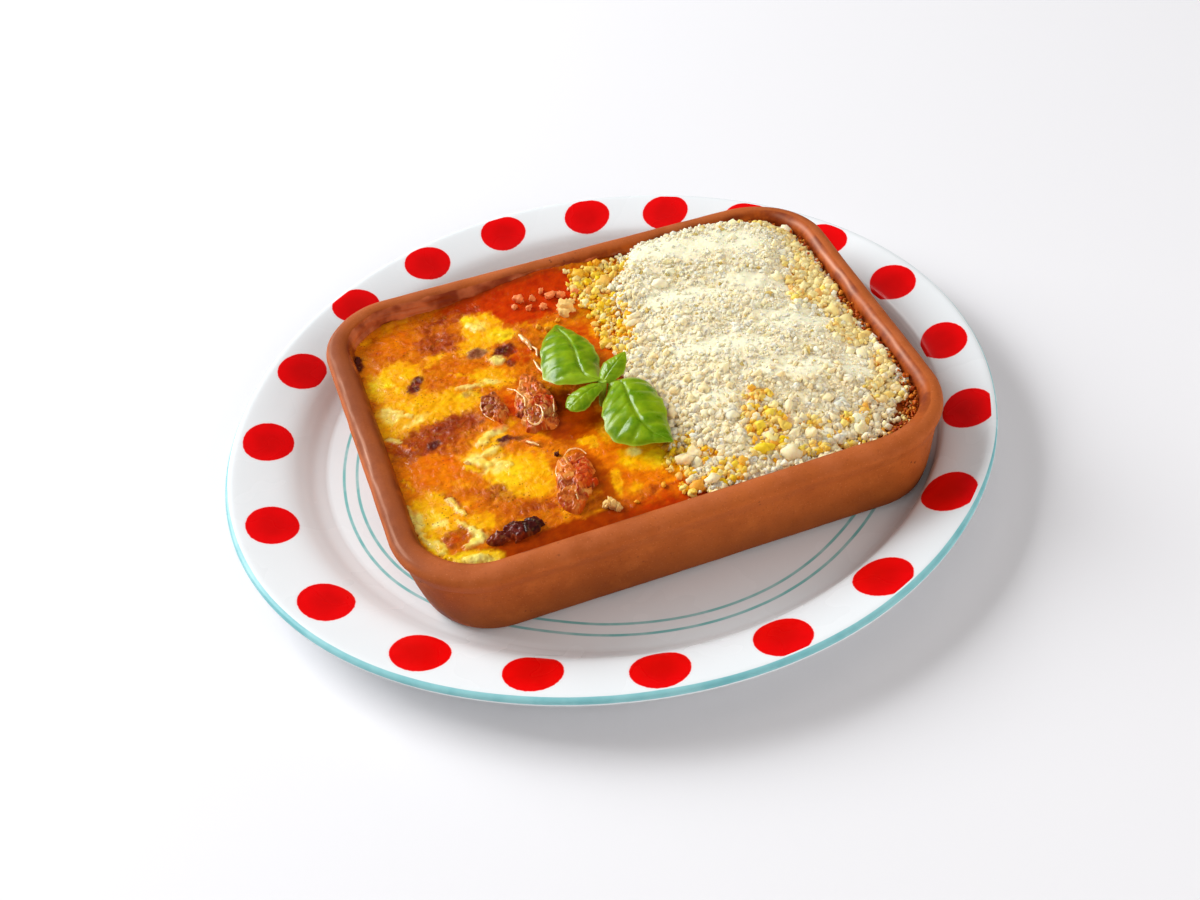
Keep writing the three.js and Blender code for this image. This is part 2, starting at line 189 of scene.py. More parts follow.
def put_color(ob, name, rgb):
    rgba = np.ones((len(rgb), 4), np.float32)
    rgba[:, :3] = np.clip(rgb, 0, 1)
    a = ob.data.attributes.new(name, "FLOAT_COLOR", "POINT")
    a.data.foreach_set("color", rgba.ravel())


def ring_faces(rings, n, closed=True):
    """Quads between consecutive rings of n points."""
    k = np.arange(rings - 1)[:, None] * n
    i = np.arange(n if closed else n - 1)[None, :]
    j = (i + 1) % n
    return np.stack([k + i, k + j, k + n + j, k + n + i], -1).reshape(-1, 4)


def fan(centre, first, n, flip):
    i = np.arange(n)
    j = (i + 1) % n
    c = np.full(n, centre)
    return np.stack([c, first + j, first + i] if flip else [c, first + i, first + j], 1)


# ------------------------------------------------------------------ nodes
class Net:
    def __init__(self, name):
        self.mat = bpy.data.materials.new(name)
        self.mat.use_nodes = True
        self.nt = self.mat.node_tree
        self.nt.nodes.clear()
        self.coord = self.node("ShaderNodeTexCoord")["Object"]

    def node(self, kind, ins=None, **props):
        n = self.nt.nodes.new(kind)
        for k, v in props.items():
            setattr(n, k, v)
        for k, v in (ins or {}).items():
            self.set(n.inputs[k], v)
        return n.outputs

    def set(self, socket, v):
        if isinstance(v, bpy.types.NodeSocket):
            self.nt.links.new(v, socket)
        elif hasattr(v, "__len__") and len(v) == 3 and socket.type == "RGBA":
            socket.default_value = (*v, 1)
        else:
            socket.default_value = v

    def attr(self, name, out="Fac"):
        return self.node("ShaderNodeAttribute", attribute_name=name)[out]

    def noise(self, scale, detail=3, rough=0.5, distortion=0.0, vec=None, out=0):
        return self.node("ShaderNodeTexNoise", {"Vector": vec or self.coord, "Scale": scale, "Detail": detail,
                                                "Roughness": rough, "Distortion": distortion})[out]

    def cells(self, scale, feature="F1", vec=None, out="Distance"):
        return self.node("ShaderNodeTexVoronoi", {"Vector": vec or self.coord, "Scale": scale}, feature=feature)[out]

    def stretch(self, x, y, z):
        return self.node("ShaderNodeVectorMath", {0: self.coord, 1: (x, y, z)}, operation="MULTIPLY")[0]

    def math(self, op, a, b=0.0, c=0.0):
        return self.node("ShaderNodeMath", {0: a, 1: b, 2: c}, operation=op)[0]

    def ramp(self, fac, lo, hi, out_lo=0.0, out_hi=1.0):
        return self.node("ShaderNodeMapRange", {0: fac, 1: lo, 2: hi, 3: out_lo, 4: out_hi},
                         interpolation_type="SMOOTHSTEP")[0]

    def mix(self, fac, a, b, mode="MIX"):
        n = self.nt.nodes.new("ShaderNodeMix")
        n.data_type = "RGBA"
        n.blend_type = mode
        self.set(n.inputs[0], fac)
        self.set(n.inputs[6], a)
        self.set(n.inputs[7], b)
        return n.outputs[2]

    def bump(self, height, strength, distance_mm, normal=None):
        ins = {"Height": height, "Strength": strength, "Distance": distance_mm * MM}
        if normal is not None:
            ins["Normal"] = normal
        return self.node("ShaderNodeBump", ins)["Normal"]

    def surface(self, **ins):
        names = {k.replace("_", " "): v for k, v in ins.items()}
        out = self.node("ShaderNodeBsdfPrincipled", names)
        self.node("ShaderNodeOutputMaterial", {"Surface": out[0]})
        return self.mat


# ------------------------------------------------------------------ sizes shared with the solids
GAP = 0.3
RIM_OFFSETS = np.array([
    (-180, 0.6), (-162, 1.6), (-142, 0.9), (-130, -0.5), (-115, -1.5), (-100, -1.0), (-82, 0.5), (-67, 0.8), (-50, 0.0),
    (-30, -0.5), (-15, -0.6), (5, 0.3), (25, 0.5), (60, 0.0), (78, 0.5), (95, 0.4), (110, -0.1), (125, -1.2),
    (140, -2.1), (155, -2.1), (167, -0.9), (180, 0.6)])
WELL_OFFSET = (6.5, -0.4)
PLATE_FOOT = [(0.0, 1.8, 1), (60.0, 1.75, 1), (100.0, 1.6, 1), (103.4, 1.0, 1), (104.4, 0.0, 1), (110.0, 0.0, 1),
              (111.2, 0.8, 1)]
PLATE_UPPER = [(111.2, 0.8, 1), (114.2, 3.2, 0.85), (120.4, 7.4, 0.4), (127, 10.6, 0.05), (135, 13, 0), (140.2, 14.1, 0),
               (142, 15, 0), (142.5, 16.2, 0), (141.9, 17.3, 0), (140.2, 17.8, 0), (137.4, 17.4, 0), (130, 15.6, 0),
               (123.6, 13.7, 0.12), (120.6, 12.0, 0.34), (118.4, 9.8, 0.58), (116.4, 7.6, 0.82), (113.4, 6.0, 1)]

DISH_CENTRE = (7.6, -5.08)
DISH_LENGTH, DISH_WIDTH = 199.6, 165.5
DISH_CORNERS = (31.0, 29.0, 33.0, 33.0)
DISH_SKEW_X, DISH_SKEW_Y = 0.014, -0.024
WALL_LEFT, WALL_RIGHT, WALL_FRONT, WALL_BACK = 0.5, -1.5, 1.0, -1.2
FOOT_SPREAD = (3.3, 0.008)
DISH_OUTSIDE = [(10.4, 6.3, 0, 1), (8.0, 7.2, 0, 1), (6.5, 9.4, 0, 1), (4.7, 16.0, 0, 0.75), (2.7, 25.2, 0, 0.3),
                (1.9, 27.8, 0, 0.14), (1.0, 29.6, 0, 0.04), (0.25, 31.3, 0, 0), (0.0, 32.7, 0, 0), (0.7, 34.2, 0.1, 0),
                (2.3, 35.2, 0.3, 0), (4.4, 35.6, 0.6, 0), (6.4, 35.2, 0.85, 0), (7.9, 34.2, 1, 0), (8.8, 32.8, 1, 0),
                (9.06, 31.4, 1, 0), (9.4, 29.6, 1, 0), (9.9, 26.9, 1, 0), (10.9, 21.5, 1, 0), (12.0, 15.6, 1, 0),
                (13.4, 13.2, 1, 0), (16.0, 12.0, 1, 0)]

FOOD_LEVEL = 28.0
FOOD_WAVES = [(-6, 62, 24, 14, 2.0), (-56, 60, 26, 14, -0.5), (-40, -31, 17, 13, 1.1), (-35, 48, 18, 11, 0.8),
              (-73, 21, 12, 17, 0.7), (-76, -62, 13, 11, 0.8), (-20, -12, 12, 12, -0.7), (-14, -70, 32, 9, -0.9),
              (60, 0, 34, 46, 1.0), (0, 72, 17, 7, 4.0), (-61, 74, 8, 6, 1.0), (28, 74, 9, 6, 1.2)]


def wall_inset(z):
    return 12.0 + (z - 15.6) / (32.8 - 15.6) * (8.8 - 12.0)


def dish_outline(inset, corner_steps, side_steps, thick=0.0, spread=0.0):
    """Rounded, slightly skewed rectangle; starts at the right side's back end, anticlockwise."""
    hx, hy = DISH_LENGTH / 2 - inset, DISH_WIDTH / 2 - inset
    radius = [max(4.0, r - inset) for r in DISH_CORNERS]
    raw = []
    for quarter, (sx, sy) in enumerate(((1, 1), (-1, 1), (-1, -1), (1, -1))):
        r = radius[quarter]
        for i in range(corner_steps + 1):
            a = (quarter + i / corner_steps) * math.pi / 2
            raw.append((sx * (hx - r) + r * math.cos(a), sy * (hy - r) + r * math.sin(a)))
        ex, ey = raw[-1]
        after = radius[(quarter + 1) % 4]
        nx, ny = (-sx * (hx - after), ey) if quarter % 2 == 0 else (ex, -sy * (hy - after))
        for i in range(1, side_steps):
            t = i / side_steps
            raw.append((ex + (nx - ex) * t, ey + (ny - ey) * t))
    return placed(np.array(raw), hx, hy, thick, spread)


def side_shift(x, y, hx, hy, thick, spread):
    """Uneven wall: how far each side's line lies in or out of the even outline."""
    dx = thick * (WALL_LEFT * smooth(0.45, 1, -x / hx) - WALL_RIGHT * smooth(0.45, 1, x / hx))
    dy = thick * (WALL_FRONT * smooth(0.45, 1, -y / hy) - WALL_BACK * smooth(0.45, 1, y / hy))
    return dx, dy - spread * (FOOT_SPREAD[0] + FOOT_SPREAD[1] * x) * smooth(0.45, 1, -y / hy)


def placed(p, hx, hy, thick=0.0, spread=0.0):
    dx, dy = side_shift(p[:, 0], p[:, 1], hx, hy, thick, spread)
    u, v = p[:, 0] + dx, p[:, 1] + dy
    x = DISH_CENTRE[0] + u * (1 + DISH_SKEW_X * v / (DISH_WIDTH / 2))
    y = DISH_CENTRE[1] + v * (1 + DISH_SKEW_Y * u / (DISH_LENGTH / 2))
    return np.stack([x, y], 1)


def wall_distance(x, y, inset, thick=1.0):
    """How far a point lies inside the outline with that inset."""
    u, v = x - DISH_CENTRE[0], y - DISH_CENTRE[1]
    u = u / (1 + DISH_SKEW_X * v / (DISH_WIDTH / 2))
    v = v / (1 + DISH_SKEW_Y * u / (DISH_LENGTH / 2))
    hx, hy = DISH_LENGTH / 2 - inset, DISH_WIDTH / 2 - inset
    dx, dy = side_shift(u, v, hx, hy, thick, 0.0)
    u, v = u - dx, v - dy
    c = DISH_CORNERS
    r = np.where(v > 0, np.where(u > 0, c[0], c[1]), np.where(u > 0, c[3], c[2])) - inset
    qx, qy = np.abs(u) - (hx - r), np.abs(v) - (hy - r)
    return r - np.hypot(np.maximum(qx, 0), np.maximum(qy, 0)) - np.minimum(np.maximum(qx, qy), 0)


def food_height(x, y):
    z = FOOD_LEVEL + 0.3 * np.sin(0.11 * x + 0.07 * y) + 0.25 * np.sin(0.16 * y - 0.05 * x + 1.2)
    for cx, cy, sx, sy, rise in FOOD_WAVES:
        z = z + rise * np.exp(-0.5 * (((x - cx) / sx) ** 2 + ((y - cy) / sy) ** 2))
    return z


# ------------------------------------------------------------------ plate
DOTS = [  # angle in degrees, distance from (1.2, 0)
    (60.9, 130.8), (76.0, 131.0), (92.4, 131.6), (108.4, 131.1), (125.4, 131.6), (144.8, 128.2), (163.9, 129.1),
    (-175.3, 129.8), (-154.6, 130.3), (-135.7, 129.9), (-118.5, 128.8), (-100.8, 130.3), (-83.4, 131.8),
    (-65.7, 131.9), (-45.7, 130.9), (-26.3, 131.0), (-8.3, 128.9), (10.5, 129.3), (28.6, 130.8), (45.2, 131.0),
]
# outer painted line in the well: angle in degrees, distance from (5, -1); the inner one runs along it
RING_LINE = [(-180, 106.3), (-170, 107.0), (-160, 107.8), (-150, 107.7), (-138, 106.0), (-126, 104.3), (-115, 105.1),
             (-104, 106.0), (-92, 107.0), (-84, 107.1), (-76, 106.8), (-68, 106.0), (-58, 104.4), (-45, 103.6),
             (-20, 103.6), (10, 104.2), (60, 104.8), (100, 104.4), (140, 104.0), (160, 104.7), (170, 105.3)]
RING_STEP = 4.85


def plate_points(profile, n):
    th = np.linspace(0, 2 * np.pi, n, endpoint=False)
    r, z, s = profile[:, 0:1], profile[:, 1:2], profile[:, 2:3]
    turn = np.degrees(th)
    offset = np.mean([np.interp((turn + k + 540) % 360 - 180, RIM_OFFSETS[:, 0], RIM_OFFSETS[:, 1])
                      for k in np.linspace(-11, 11, 9)], axis=0)
    rad = r + offset * smooth(112, 140, r)
    x = rad * np.cos(th) + WELL_OFFSET[0] * s
    y = rad * np.sin(th) + WELL_OFFSET[1] * s
    return np.stack([x, y, np.broadcast_to(z, x.shape)], -1)


def make_plate():
    n = 320
    upper = curve_through(PLATE_UPPER, 7)
    upper[:, 1] = np.maximum(upper[:, 1], 0)
    inner = [(r, 6.0, 1) for r in (112, 110.5, 108.6, 106.4, 104.1, 101.5, 99, 96, 90, 75, 55, 35, 15)]
    under = [row for row in curve_through(PLATE_FOOT, 3) if row[0] > 4][:-1]
    profile = np.vstack([under, upper, inner])
    pts = plate_points(profile, n)
    rings = len(profile)
    verts = pts.reshape(-1, 3)
    c0 = len(verts)
    verts = np.vstack([verts, [[WELL_OFFSET[0], WELL_OFFSET[1], 1.8], [WELL_OFFSET[0], WELL_OFFSET[1], 6.0]]])
    x, y, z = verts.T
    # slight unevenness of the glaze on the rim
    verts[:, 2] += np.where(z > 2, 0.04 * fbm2(x / 30, y / 30, 2, 5), 0)
    faces = [ring_faces(rings, n), fan(c0, 0, n, True), fan(c0 + 1, (rings - 1) * n, n, False)]

    w = Net("glazed_white")
    dots = w.attr("dot_edge")
    lip = w.attr("lip")
    wave = w.noise(40, 2, 0.5)
    white = w.mix(w.ramp(wave, 0.3, 0.7), lin(234, 239, 241), lin(236, 241, 243))
    # two thin painted lines in the well
    reach = w.math("MULTIPLY", w.attr("ring_reach"), 0.001)
    jitter = w.math("MULTIPLY", w.math("SUBTRACT", w.noise(28, 2), 0.5), 0.0005)
    reach = w.math("ADD", reach, jitter)
    inside = w.attr("well")
    lines = None
    for r in (0.0, -RING_STEP):
        d = w.math("ABSOLUTE", w.math("SUBTRACT", reach, r * MM))
        line = w.ramp(d, 0.00036, 0.00072, 1.0, 0.0)
        lines = line if lines is None else w.math("MAXIMUM", lines, line)
    lines = w.math("MULTIPLY", lines, inside)
    lines = w.math("MULTIPLY", lines, w.ramp(w.noise(120, 2), 0.25, 0.6, 0.7, 1.0))
    teal_line = w.mix(w.noise(150, 2), lin(112, 186, 186), lin(142, 202, 200))
    colour = w.mix(lines, white, teal_line)
    # red spots, colour slightly drawn in at the edge
    spread = w.math("ADD", dots, w.math("MULTIPLY", w.math("SUBTRACT", w.noise(900, 2), 0.5), 0.35))
    spot = w.ramp(spread, -0.12, 0.22, 1.0, 0.0)
    halo = w.math("MULTIPLY", w.ramp(spread, 0.0, 1.3, 1.0, 0.0), 0.16)
    deep = w.ramp(dots, -7.5, -1.0, 0.0, 1.0)
    red = w.mix(deep, lin(214, 0, 2), lin(234, 0, 4))
    red = w.mix(w.math("MULTIPLY", w.ramp(w.noise(180, 3), 0.4, 0.75), 0.3), red, lin(200, 0, 1))
    colour = w.mix(halo, colour, lin(252, 176, 172))
    colour = w.mix(spot, colour, red)
    # painted lip
    edge = w.math("ADD", lip, w.math("MULTIPLY", w.math("SUBTRACT", w.noise(60, 3), 0.5), 0.6))
    band = w.ramp(edge, 0.3, 0.7)
    teal = w.mix(w.ramp(w.noise(90, 3), 0.3, 0.7), lin(122, 190, 196), lin(150, 208, 212))
    colour = w.mix(band, colour, teal)
    tiny = w.noise(1400, 2)
    mat = w.surface(Base_Color=colour, Roughness=w.ramp(wave, 0.2, 0.8, 0.25, 0.29), IOR=1.5,
                    Specular_IOR_Level=0.2,
                    Normal=w.bump(tiny, 0.02, 0.04, w.bump(wave, 0.02, 0.4)))
    ob = new_mesh("plate_glazed", verts, faces, "glazed_plate", mat)
    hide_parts("plate")

    x, y, z = verts.T
    top = np.zeros(len(verts), bool)
    k_lip = len(under) + 7 * 9            # first ring past the lip's crest
    top[k_lip * n: rings * n] = True
    best = np.full(len(verts), 20.0)
    for i, (deg, r) in enumerate(DOTS):
        a = math.radians(deg)
        # the flat of the rim is narrower at the right and at the back right
        narrow = smooth(0.35, 0.8, math.cos(a)) * smooth(-0.5, -0.1, math.sin(a))
        r = r + 0.55 * narrow
        cx, cy = 1.2 + r * math.cos(a), r * math.sin(a)
        u = (x - cx) * math.cos(a) + (y - cy) * math.sin(a)
        v = -(x - cx) * math.sin(a) + (y - cy) * math.cos(a)
        phi = np.arctan2(v, u)
        p = rng.uniform(0, 6.28, 3)
        q = rng.uniform(0.4, 1.0, 3)
        # stamped by hand: a little longer along the rim at the sides
        c2 = math.cos(a) ** 2
        radial, tangent = 9.5 - 0.35 * c2 - 0.75 * narrow, 9.65 + 0.95 * c2 - 0.4 * narrow
        wave_out = (0.014 * q[0] * np.cos(2 * phi + p[0]) + 0.011 * q[1] * np.cos(3 * phi + p[1])
                    + 0.006 * q[2] * np.cos(4 * phi + p[2]))
        size = rng.uniform(-0.12, 0.15)
        best = np.minimum(best, (np.hypot(u / radial, v / tangent) - 1 - wave_out) * 9.6 - size)
    best = best + np.clip(12.2 - z, 0, 6) * 4.0      # none on the steep side of the well
    best = np.where(top, best, 20.0)
    put_float(ob, "dot_edge", best)
    # lip colour: from the crest over the outermost line
    lip = np.zeros((rings, n))
    around = np.linspace(0, 2 * np.pi, n, endpoint=False)
    for k in range(rings):
        s = (k - len(under)) / 7.0         # position on the upper profile, in its points
        front = smooth(0.0, 0.6, -np.sin(around + 0.45))
        lip[k] = np.clip(4.0 * np.minimum(s - 7.35 + 0.35 * front, 8.0 + 0.75 * front - s) + 0.5, 0, 1)
    put_float(ob, "lip", np.concatenate([lip.ravel(), [0, 0]]))
    put_float(ob, "well", np.where(top | (np.arange(len(verts)) == c0 + 1), 1.0, 0.0))
    turn = np.degrees(np.arctan2(y + 1, x - 5))
    table = np.array(RING_LINE, float)
    soft = np.mean([np.interp(turn + k, table[:, 0], table[:, 1], period=360) for k in (-6, -3, 0, 3, 6)], axis=0)
    put_float(ob, "ring_reach", np.hypot(x - 5, y + 1) - soft)
    return ob


# ------------------------------------------------------------------ clay dish
def make_dish():
    cs, ss = 26, 54
    prof = curve_through(DISH_OUTSIDE, 4)
    prof = np.vstack([[(40, 6.3, 0, 0), (20, 6.3, 0, 0.5)], prof, [(22, 12.0, 0.6, 0), (40, 12.0, 0, 0)]])
    rows = []
    for inset, z, thick, spread in prof:
        o = dish_outline(inset, cs, ss, thick, spread)
        rows.append(np.column_stack([o, np.full(len(o), z)]))
    n = len(rows[0])
    verts = np.vstack(rows)
    c0 = len(verts)
    verts = np.vstack([verts, [[*DISH_CENTRE, 6.3], [*DISH_CENTRE, 12.0]]])
    faces = [ring_faces(len(rows), n), fan(c0, 0, n, True), fan(c0 + 1, (len(rows) - 1) * n, n, False)]
    x, y, z = verts.T.copy()
    cx, cy = DISH_CENTRE
    # direction away from the wall's middle line
    d = wall_distance(x, y, 0, 0)
    e = 0.5
    gx = (wall_distance(x + e, y, 0, 0) - wall_distance(x - e, y, 0, 0)) / (2 * e)
    gy = (wall_distance(x, y + e, 0, 0) - wall_distance(x, y - e, 0, 0)) / (2 * e)
    gl = np.maximum(np.hypot(gx, gy), 1e-6)
    gx, gy = -gx / gl, -gy / gl            # outward
    outer = (d < 4.5) & (z < 34.5) | (d < 2)
    ang = np.arctan2(y - cy, x - cx)
    # hand-pressed wall: soft waves, and creases under the rim at some places
    relief = 0.22 * fbm2(x / 26 + z / 40, y / 26, 3, 11) + 0.10 * noise3(x / 7, y / 7, z / 5, 31)
    crease = 0
    for a0, spread, z0, depth in ((-2.37, 0.085, 27.6, 0.34), (-2.35, 0.07, 24.9, 0.26), (-0.86, 0.12, 28.6, 0.12),
                                  (2.5, 0.2, 27.5, 0.15)):
        da = np.angle(np.exp(1j * (ang - a0)))
        crease = crease + depth * np.exp(-(da / spread) ** 2) * np.exp(-((z - z0 - 6.0 * da) / 0.9) ** 2)
    verts[:, 0] += np.where(outer, gx * (relief - crease), 0)
    verts[:, 1] += np.where(outer, gy * (relief - crease), 0)
    verts[:, 2] += np.where((z > 33.5), 0.16 * fbm2(x / 16, y / 16, 3, 7), 0)
    baked_on = (d > 6.2) * smooth(54, 61, y) * smooth(-93, -84, x) * smooth(48, 20, x) * smooth(25, 27.5, z)
    ridges = fbm3(x / 11, y / 11, z / 1.15 + 0.03 * x, 2, 41) + 0.35 * noise3(x / 3.4, y / 3.4, z / 1.6, 43)
    verts[:, 1] += -baked_on * 0.95 * np.clip(ridges + 0.2, -0.3, 1.2)
    verts[:, 2] += baked_on * 0.2 * noise3(x / 3, y / 3, z / 2, 44)

    w = Net("terracotta")
    c = w.coord
    broad = w.noise(26, 4, 0.55)
    mid = w.noise(120, 4, 0.6)
    fine = w.noise(1100, 3, 0.65)
    up = w.attr("height")
    body = w.mix(w.ramp(broad, 0.3, 0.7), lin(164, 80, 28), lin(192, 100, 42))
    body = w.mix(w.math("MULTIPLY", w.ramp(mid, 0.45, 0.75), 0.4), body, lin(206, 114, 54))
    body = w.mix(w.math("MULTIPLY", w.ramp(fine, 0.52, 0.75), 0.36), body, lin(118, 52, 20))
    grit = w.cells(900)
    body = w.mix(w.ramp(grit, 0.10, 0.2, 0.35, 0.0), body, lin(222, 140, 90))
    # the foot of the wall is darker, the rim rubbed and a little pink
    low = w.math("ADD", up, w.math("MULTIPLY", w.math("SUBTRACT", mid, 0.5), 6.0))
    body = w.mix(w.ramp(low, 6.0, 29.0, 0.62, 0.0), body, lin(100, 48, 16))
    body = w.mix(w.math("MULTIPLY", w.attr("rim"), w.ramp(mid, 0.35, 0.7, 0.1, 0.45)), body, lin(184, 98, 58))
    specks = w.cells(330, out="Distance")
    keep = w.ramp(w.noise(60, 2), 0.58, 0.7, 0.0, 0.7)
    body = w.mix(w.math("MULTIPLY", w.ramp(specks, 0.10, 0.2, 1.0, 0.0), keep), body, lin(72, 34, 22))
    # stained inside: soaked orange-brown, baked purple-brown residue above the sauce
    stain = w.attr("soak")
    body = w.mix(w.math("MULTIPLY", stain, 0.95), body,
                 w.mix(w.ramp(w.noise(90, 4, 0.6), 0.35, 0.65), lin(118, 42, 6), lin(176, 82, 18)))
    burnt = w.attr("burnt")
    crust = w.ramp(w.math("ADD", burnt, w.math("MULTIPLY", w.math("SUBTRACT", w.noise(170, 4, 0.65), 0.5), 0.9)),
                   0.32, 0.62)
    body = w.mix(w.math("MULTIPLY", crust, 0.86), body, w.mix(w.ramp(w.noise(85, 3, 0.55), 0.38, 0.66), lin(136, 50, 24), lin(212, 116, 70)))
    # painted highlight: a pale pink line along the rim, which is also smoother there
    rim_highlight_line = w.math("MULTIPLY", w.attr("rim_highlight_line"), w.ramp(w.noise(24, 3, 0.5), 0.35, 0.65, 0.25, 1.0))
    # painted shade on the left rim
    body = w.mix(w.math("MULTIPLY", w.attr("left_rim_shade"), w.ramp(mid, 0.3, 0.7, 0.55, 0.85)), body, lin(122, 58, 26))
    body = w.mix(w.math("MULTIPLY", rim_highlight_line, 0.55), body, lin(236, 172, 136))
    rough = w.mix(rim_highlight_line, w.ramp(mid, 0.3, 0.7, 0.62, 0.74), (0.42, 0.42, 0.42))
    rough = w.mix(w.math("MULTIPLY", stain, 0.6), rough, (0.36, 0.36, 0.36))
    rough = w.mix(crust, rough, (0.17, 0.17, 0.17))
    bare = w.ramp(crust, 0.0, 1.0, 1.0, 0.1)
    bump = w.bump(fine, w.math("MULTIPLY", bare, 0.4), 0.22, w.bump(mid, w.math("MULTIPLY", bare, 0.28), 0.4))
    bump = w.bump(w.noise(210, 2), w.math("MULTIPLY", crust, 0.3), 0.7, bump)
    mat = w.surface(Base_Color=body, Roughness=rough, IOR=1.45, Specular_IOR_Level=0.2,
                    Coat_Weight=w.math("MULTIPLY", crust, 0.8), Coat_Roughness=0.07, Normal=bump)
    ob = new_mesh("clay_dish_fired", verts, faces, "clay", mat)
    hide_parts("clay_dish")

    x, y, z = verts.T
    put_float(ob, "height", z)
    put_float(ob, "rim", smooth(31.5, 34.6, z))
    at = wall_distance(x, y, 0, 0)
    drift = 0.7 * fbm2(x / 12, y / 12, 2, 21)
    # painted highlight line: near the outer edge of the left rim, along the inner crest of the right rim
    leftward = smooth(-84, -89, x) * np.exp(-((at - 2.2 - drift) / 0.45) ** 2) * (z > 30)
    rightward = smooth(93, 98, x) * smooth(-66, -50, y) * np.exp(-((at - 6.0 - drift) / 0.5) ** 2) * (z > 30)
    put_float(ob, "rim_highlight_line", np.clip(leftward + rightward, 0, 1))
    # painted shade: the clay darker along the left rim
    put_float(ob, "left_rim_shade", smooth(-78, -90, x) * smooth(26, 31, z) * smooth(0.4, 1.6, at + drift))
    inner = d > 4.4
    soak = np.where(inner, smooth(35.5 + 1.6 * smooth(84, 92, x), 33.8 + 0.8 * smooth(84, 92, x), z + 0.5 * fbm2(x / 7, y / 7, 3, 3)), 0)
    put_float(ob, "soak", soak * (1 - 0.7 * smooth(-80, -90, x) * smooth(26, 29, z)))
    # residue: strongest on the back wall left of the heap, and at the left and right walls in part
    back = smooth(56, 63, y) * smooth(-93, -80, x) * (0.42 + 0.58 * smooth(30, -30, x)) * smooth(60, 30, x)
    left = smooth(-80, -86, x) * smooth(30, 42, y) * smooth(75, 66, y) * 0.8
    right = smooth(86, 92, x) * smooth(-80, -64, y) * smooth(66, 40, y) * 0.16
    level = smooth(24.5, 27.0, z) * smooth(35.0, 34.0, z + 0.6 * fbm2(x / 9, y / 9, 3, 9) + 1.0 * smooth(-20, 30, x))
    put_float(ob, "burnt", np.where(inner, np.clip(back + left + right, 0, 1) * level, 0))
    return ob


# ------------------------------------------------------------------ food surface
KINDS = {  # name: (colour a, colour b, wetness, relief)
    "amber": (lin(224, 122, 0), lin(196, 84, 2), 0.5, 0.9),
    "yellow": (lin(255, 190, 0), lin(246, 158, 0), 0.45, 0.8),
    "bright": (lin(255, 214, 24), lin(255, 190, 4), 0.4, 0.8),
    "cream": (lin(255, 242, 146), lin(255, 226, 86), 0.35, 1.0),
    "orange": (lin(240, 130, 0), lin(222, 98, 0), 0.6, 0.7),
    "scorch": (lin(178, 68, 14), lin(136, 40, 12), 0.5, 1.25),
    "brown": (lin(132, 46, 16), lin(98, 30, 12), 0.5, 1.2),
    "burnt": (lin(96, 30, 26), lin(62, 18, 20), 0.6, 1.4),
    "grey": (lin(176, 122, 80), lin(132, 74, 44), 0.5, 1.2),
    "red": (lin(210, 62, 0), lin(184, 40, 0), 0.75, 0.45),
    "liquid": (lin(172, 62, 0), lin(142, 42, 0), 0.95, 0.12),
    "deep": (lin(126, 38, 2), lin(98, 26, 2), 0.9, 0.25),
    "pink": (lin(240, 142, 88), lin(222, 104, 50), 0.6, 1.0),
    "crust": (lin(190, 86, 14), lin(140, 50, 8), 0.6, 1.3),
}
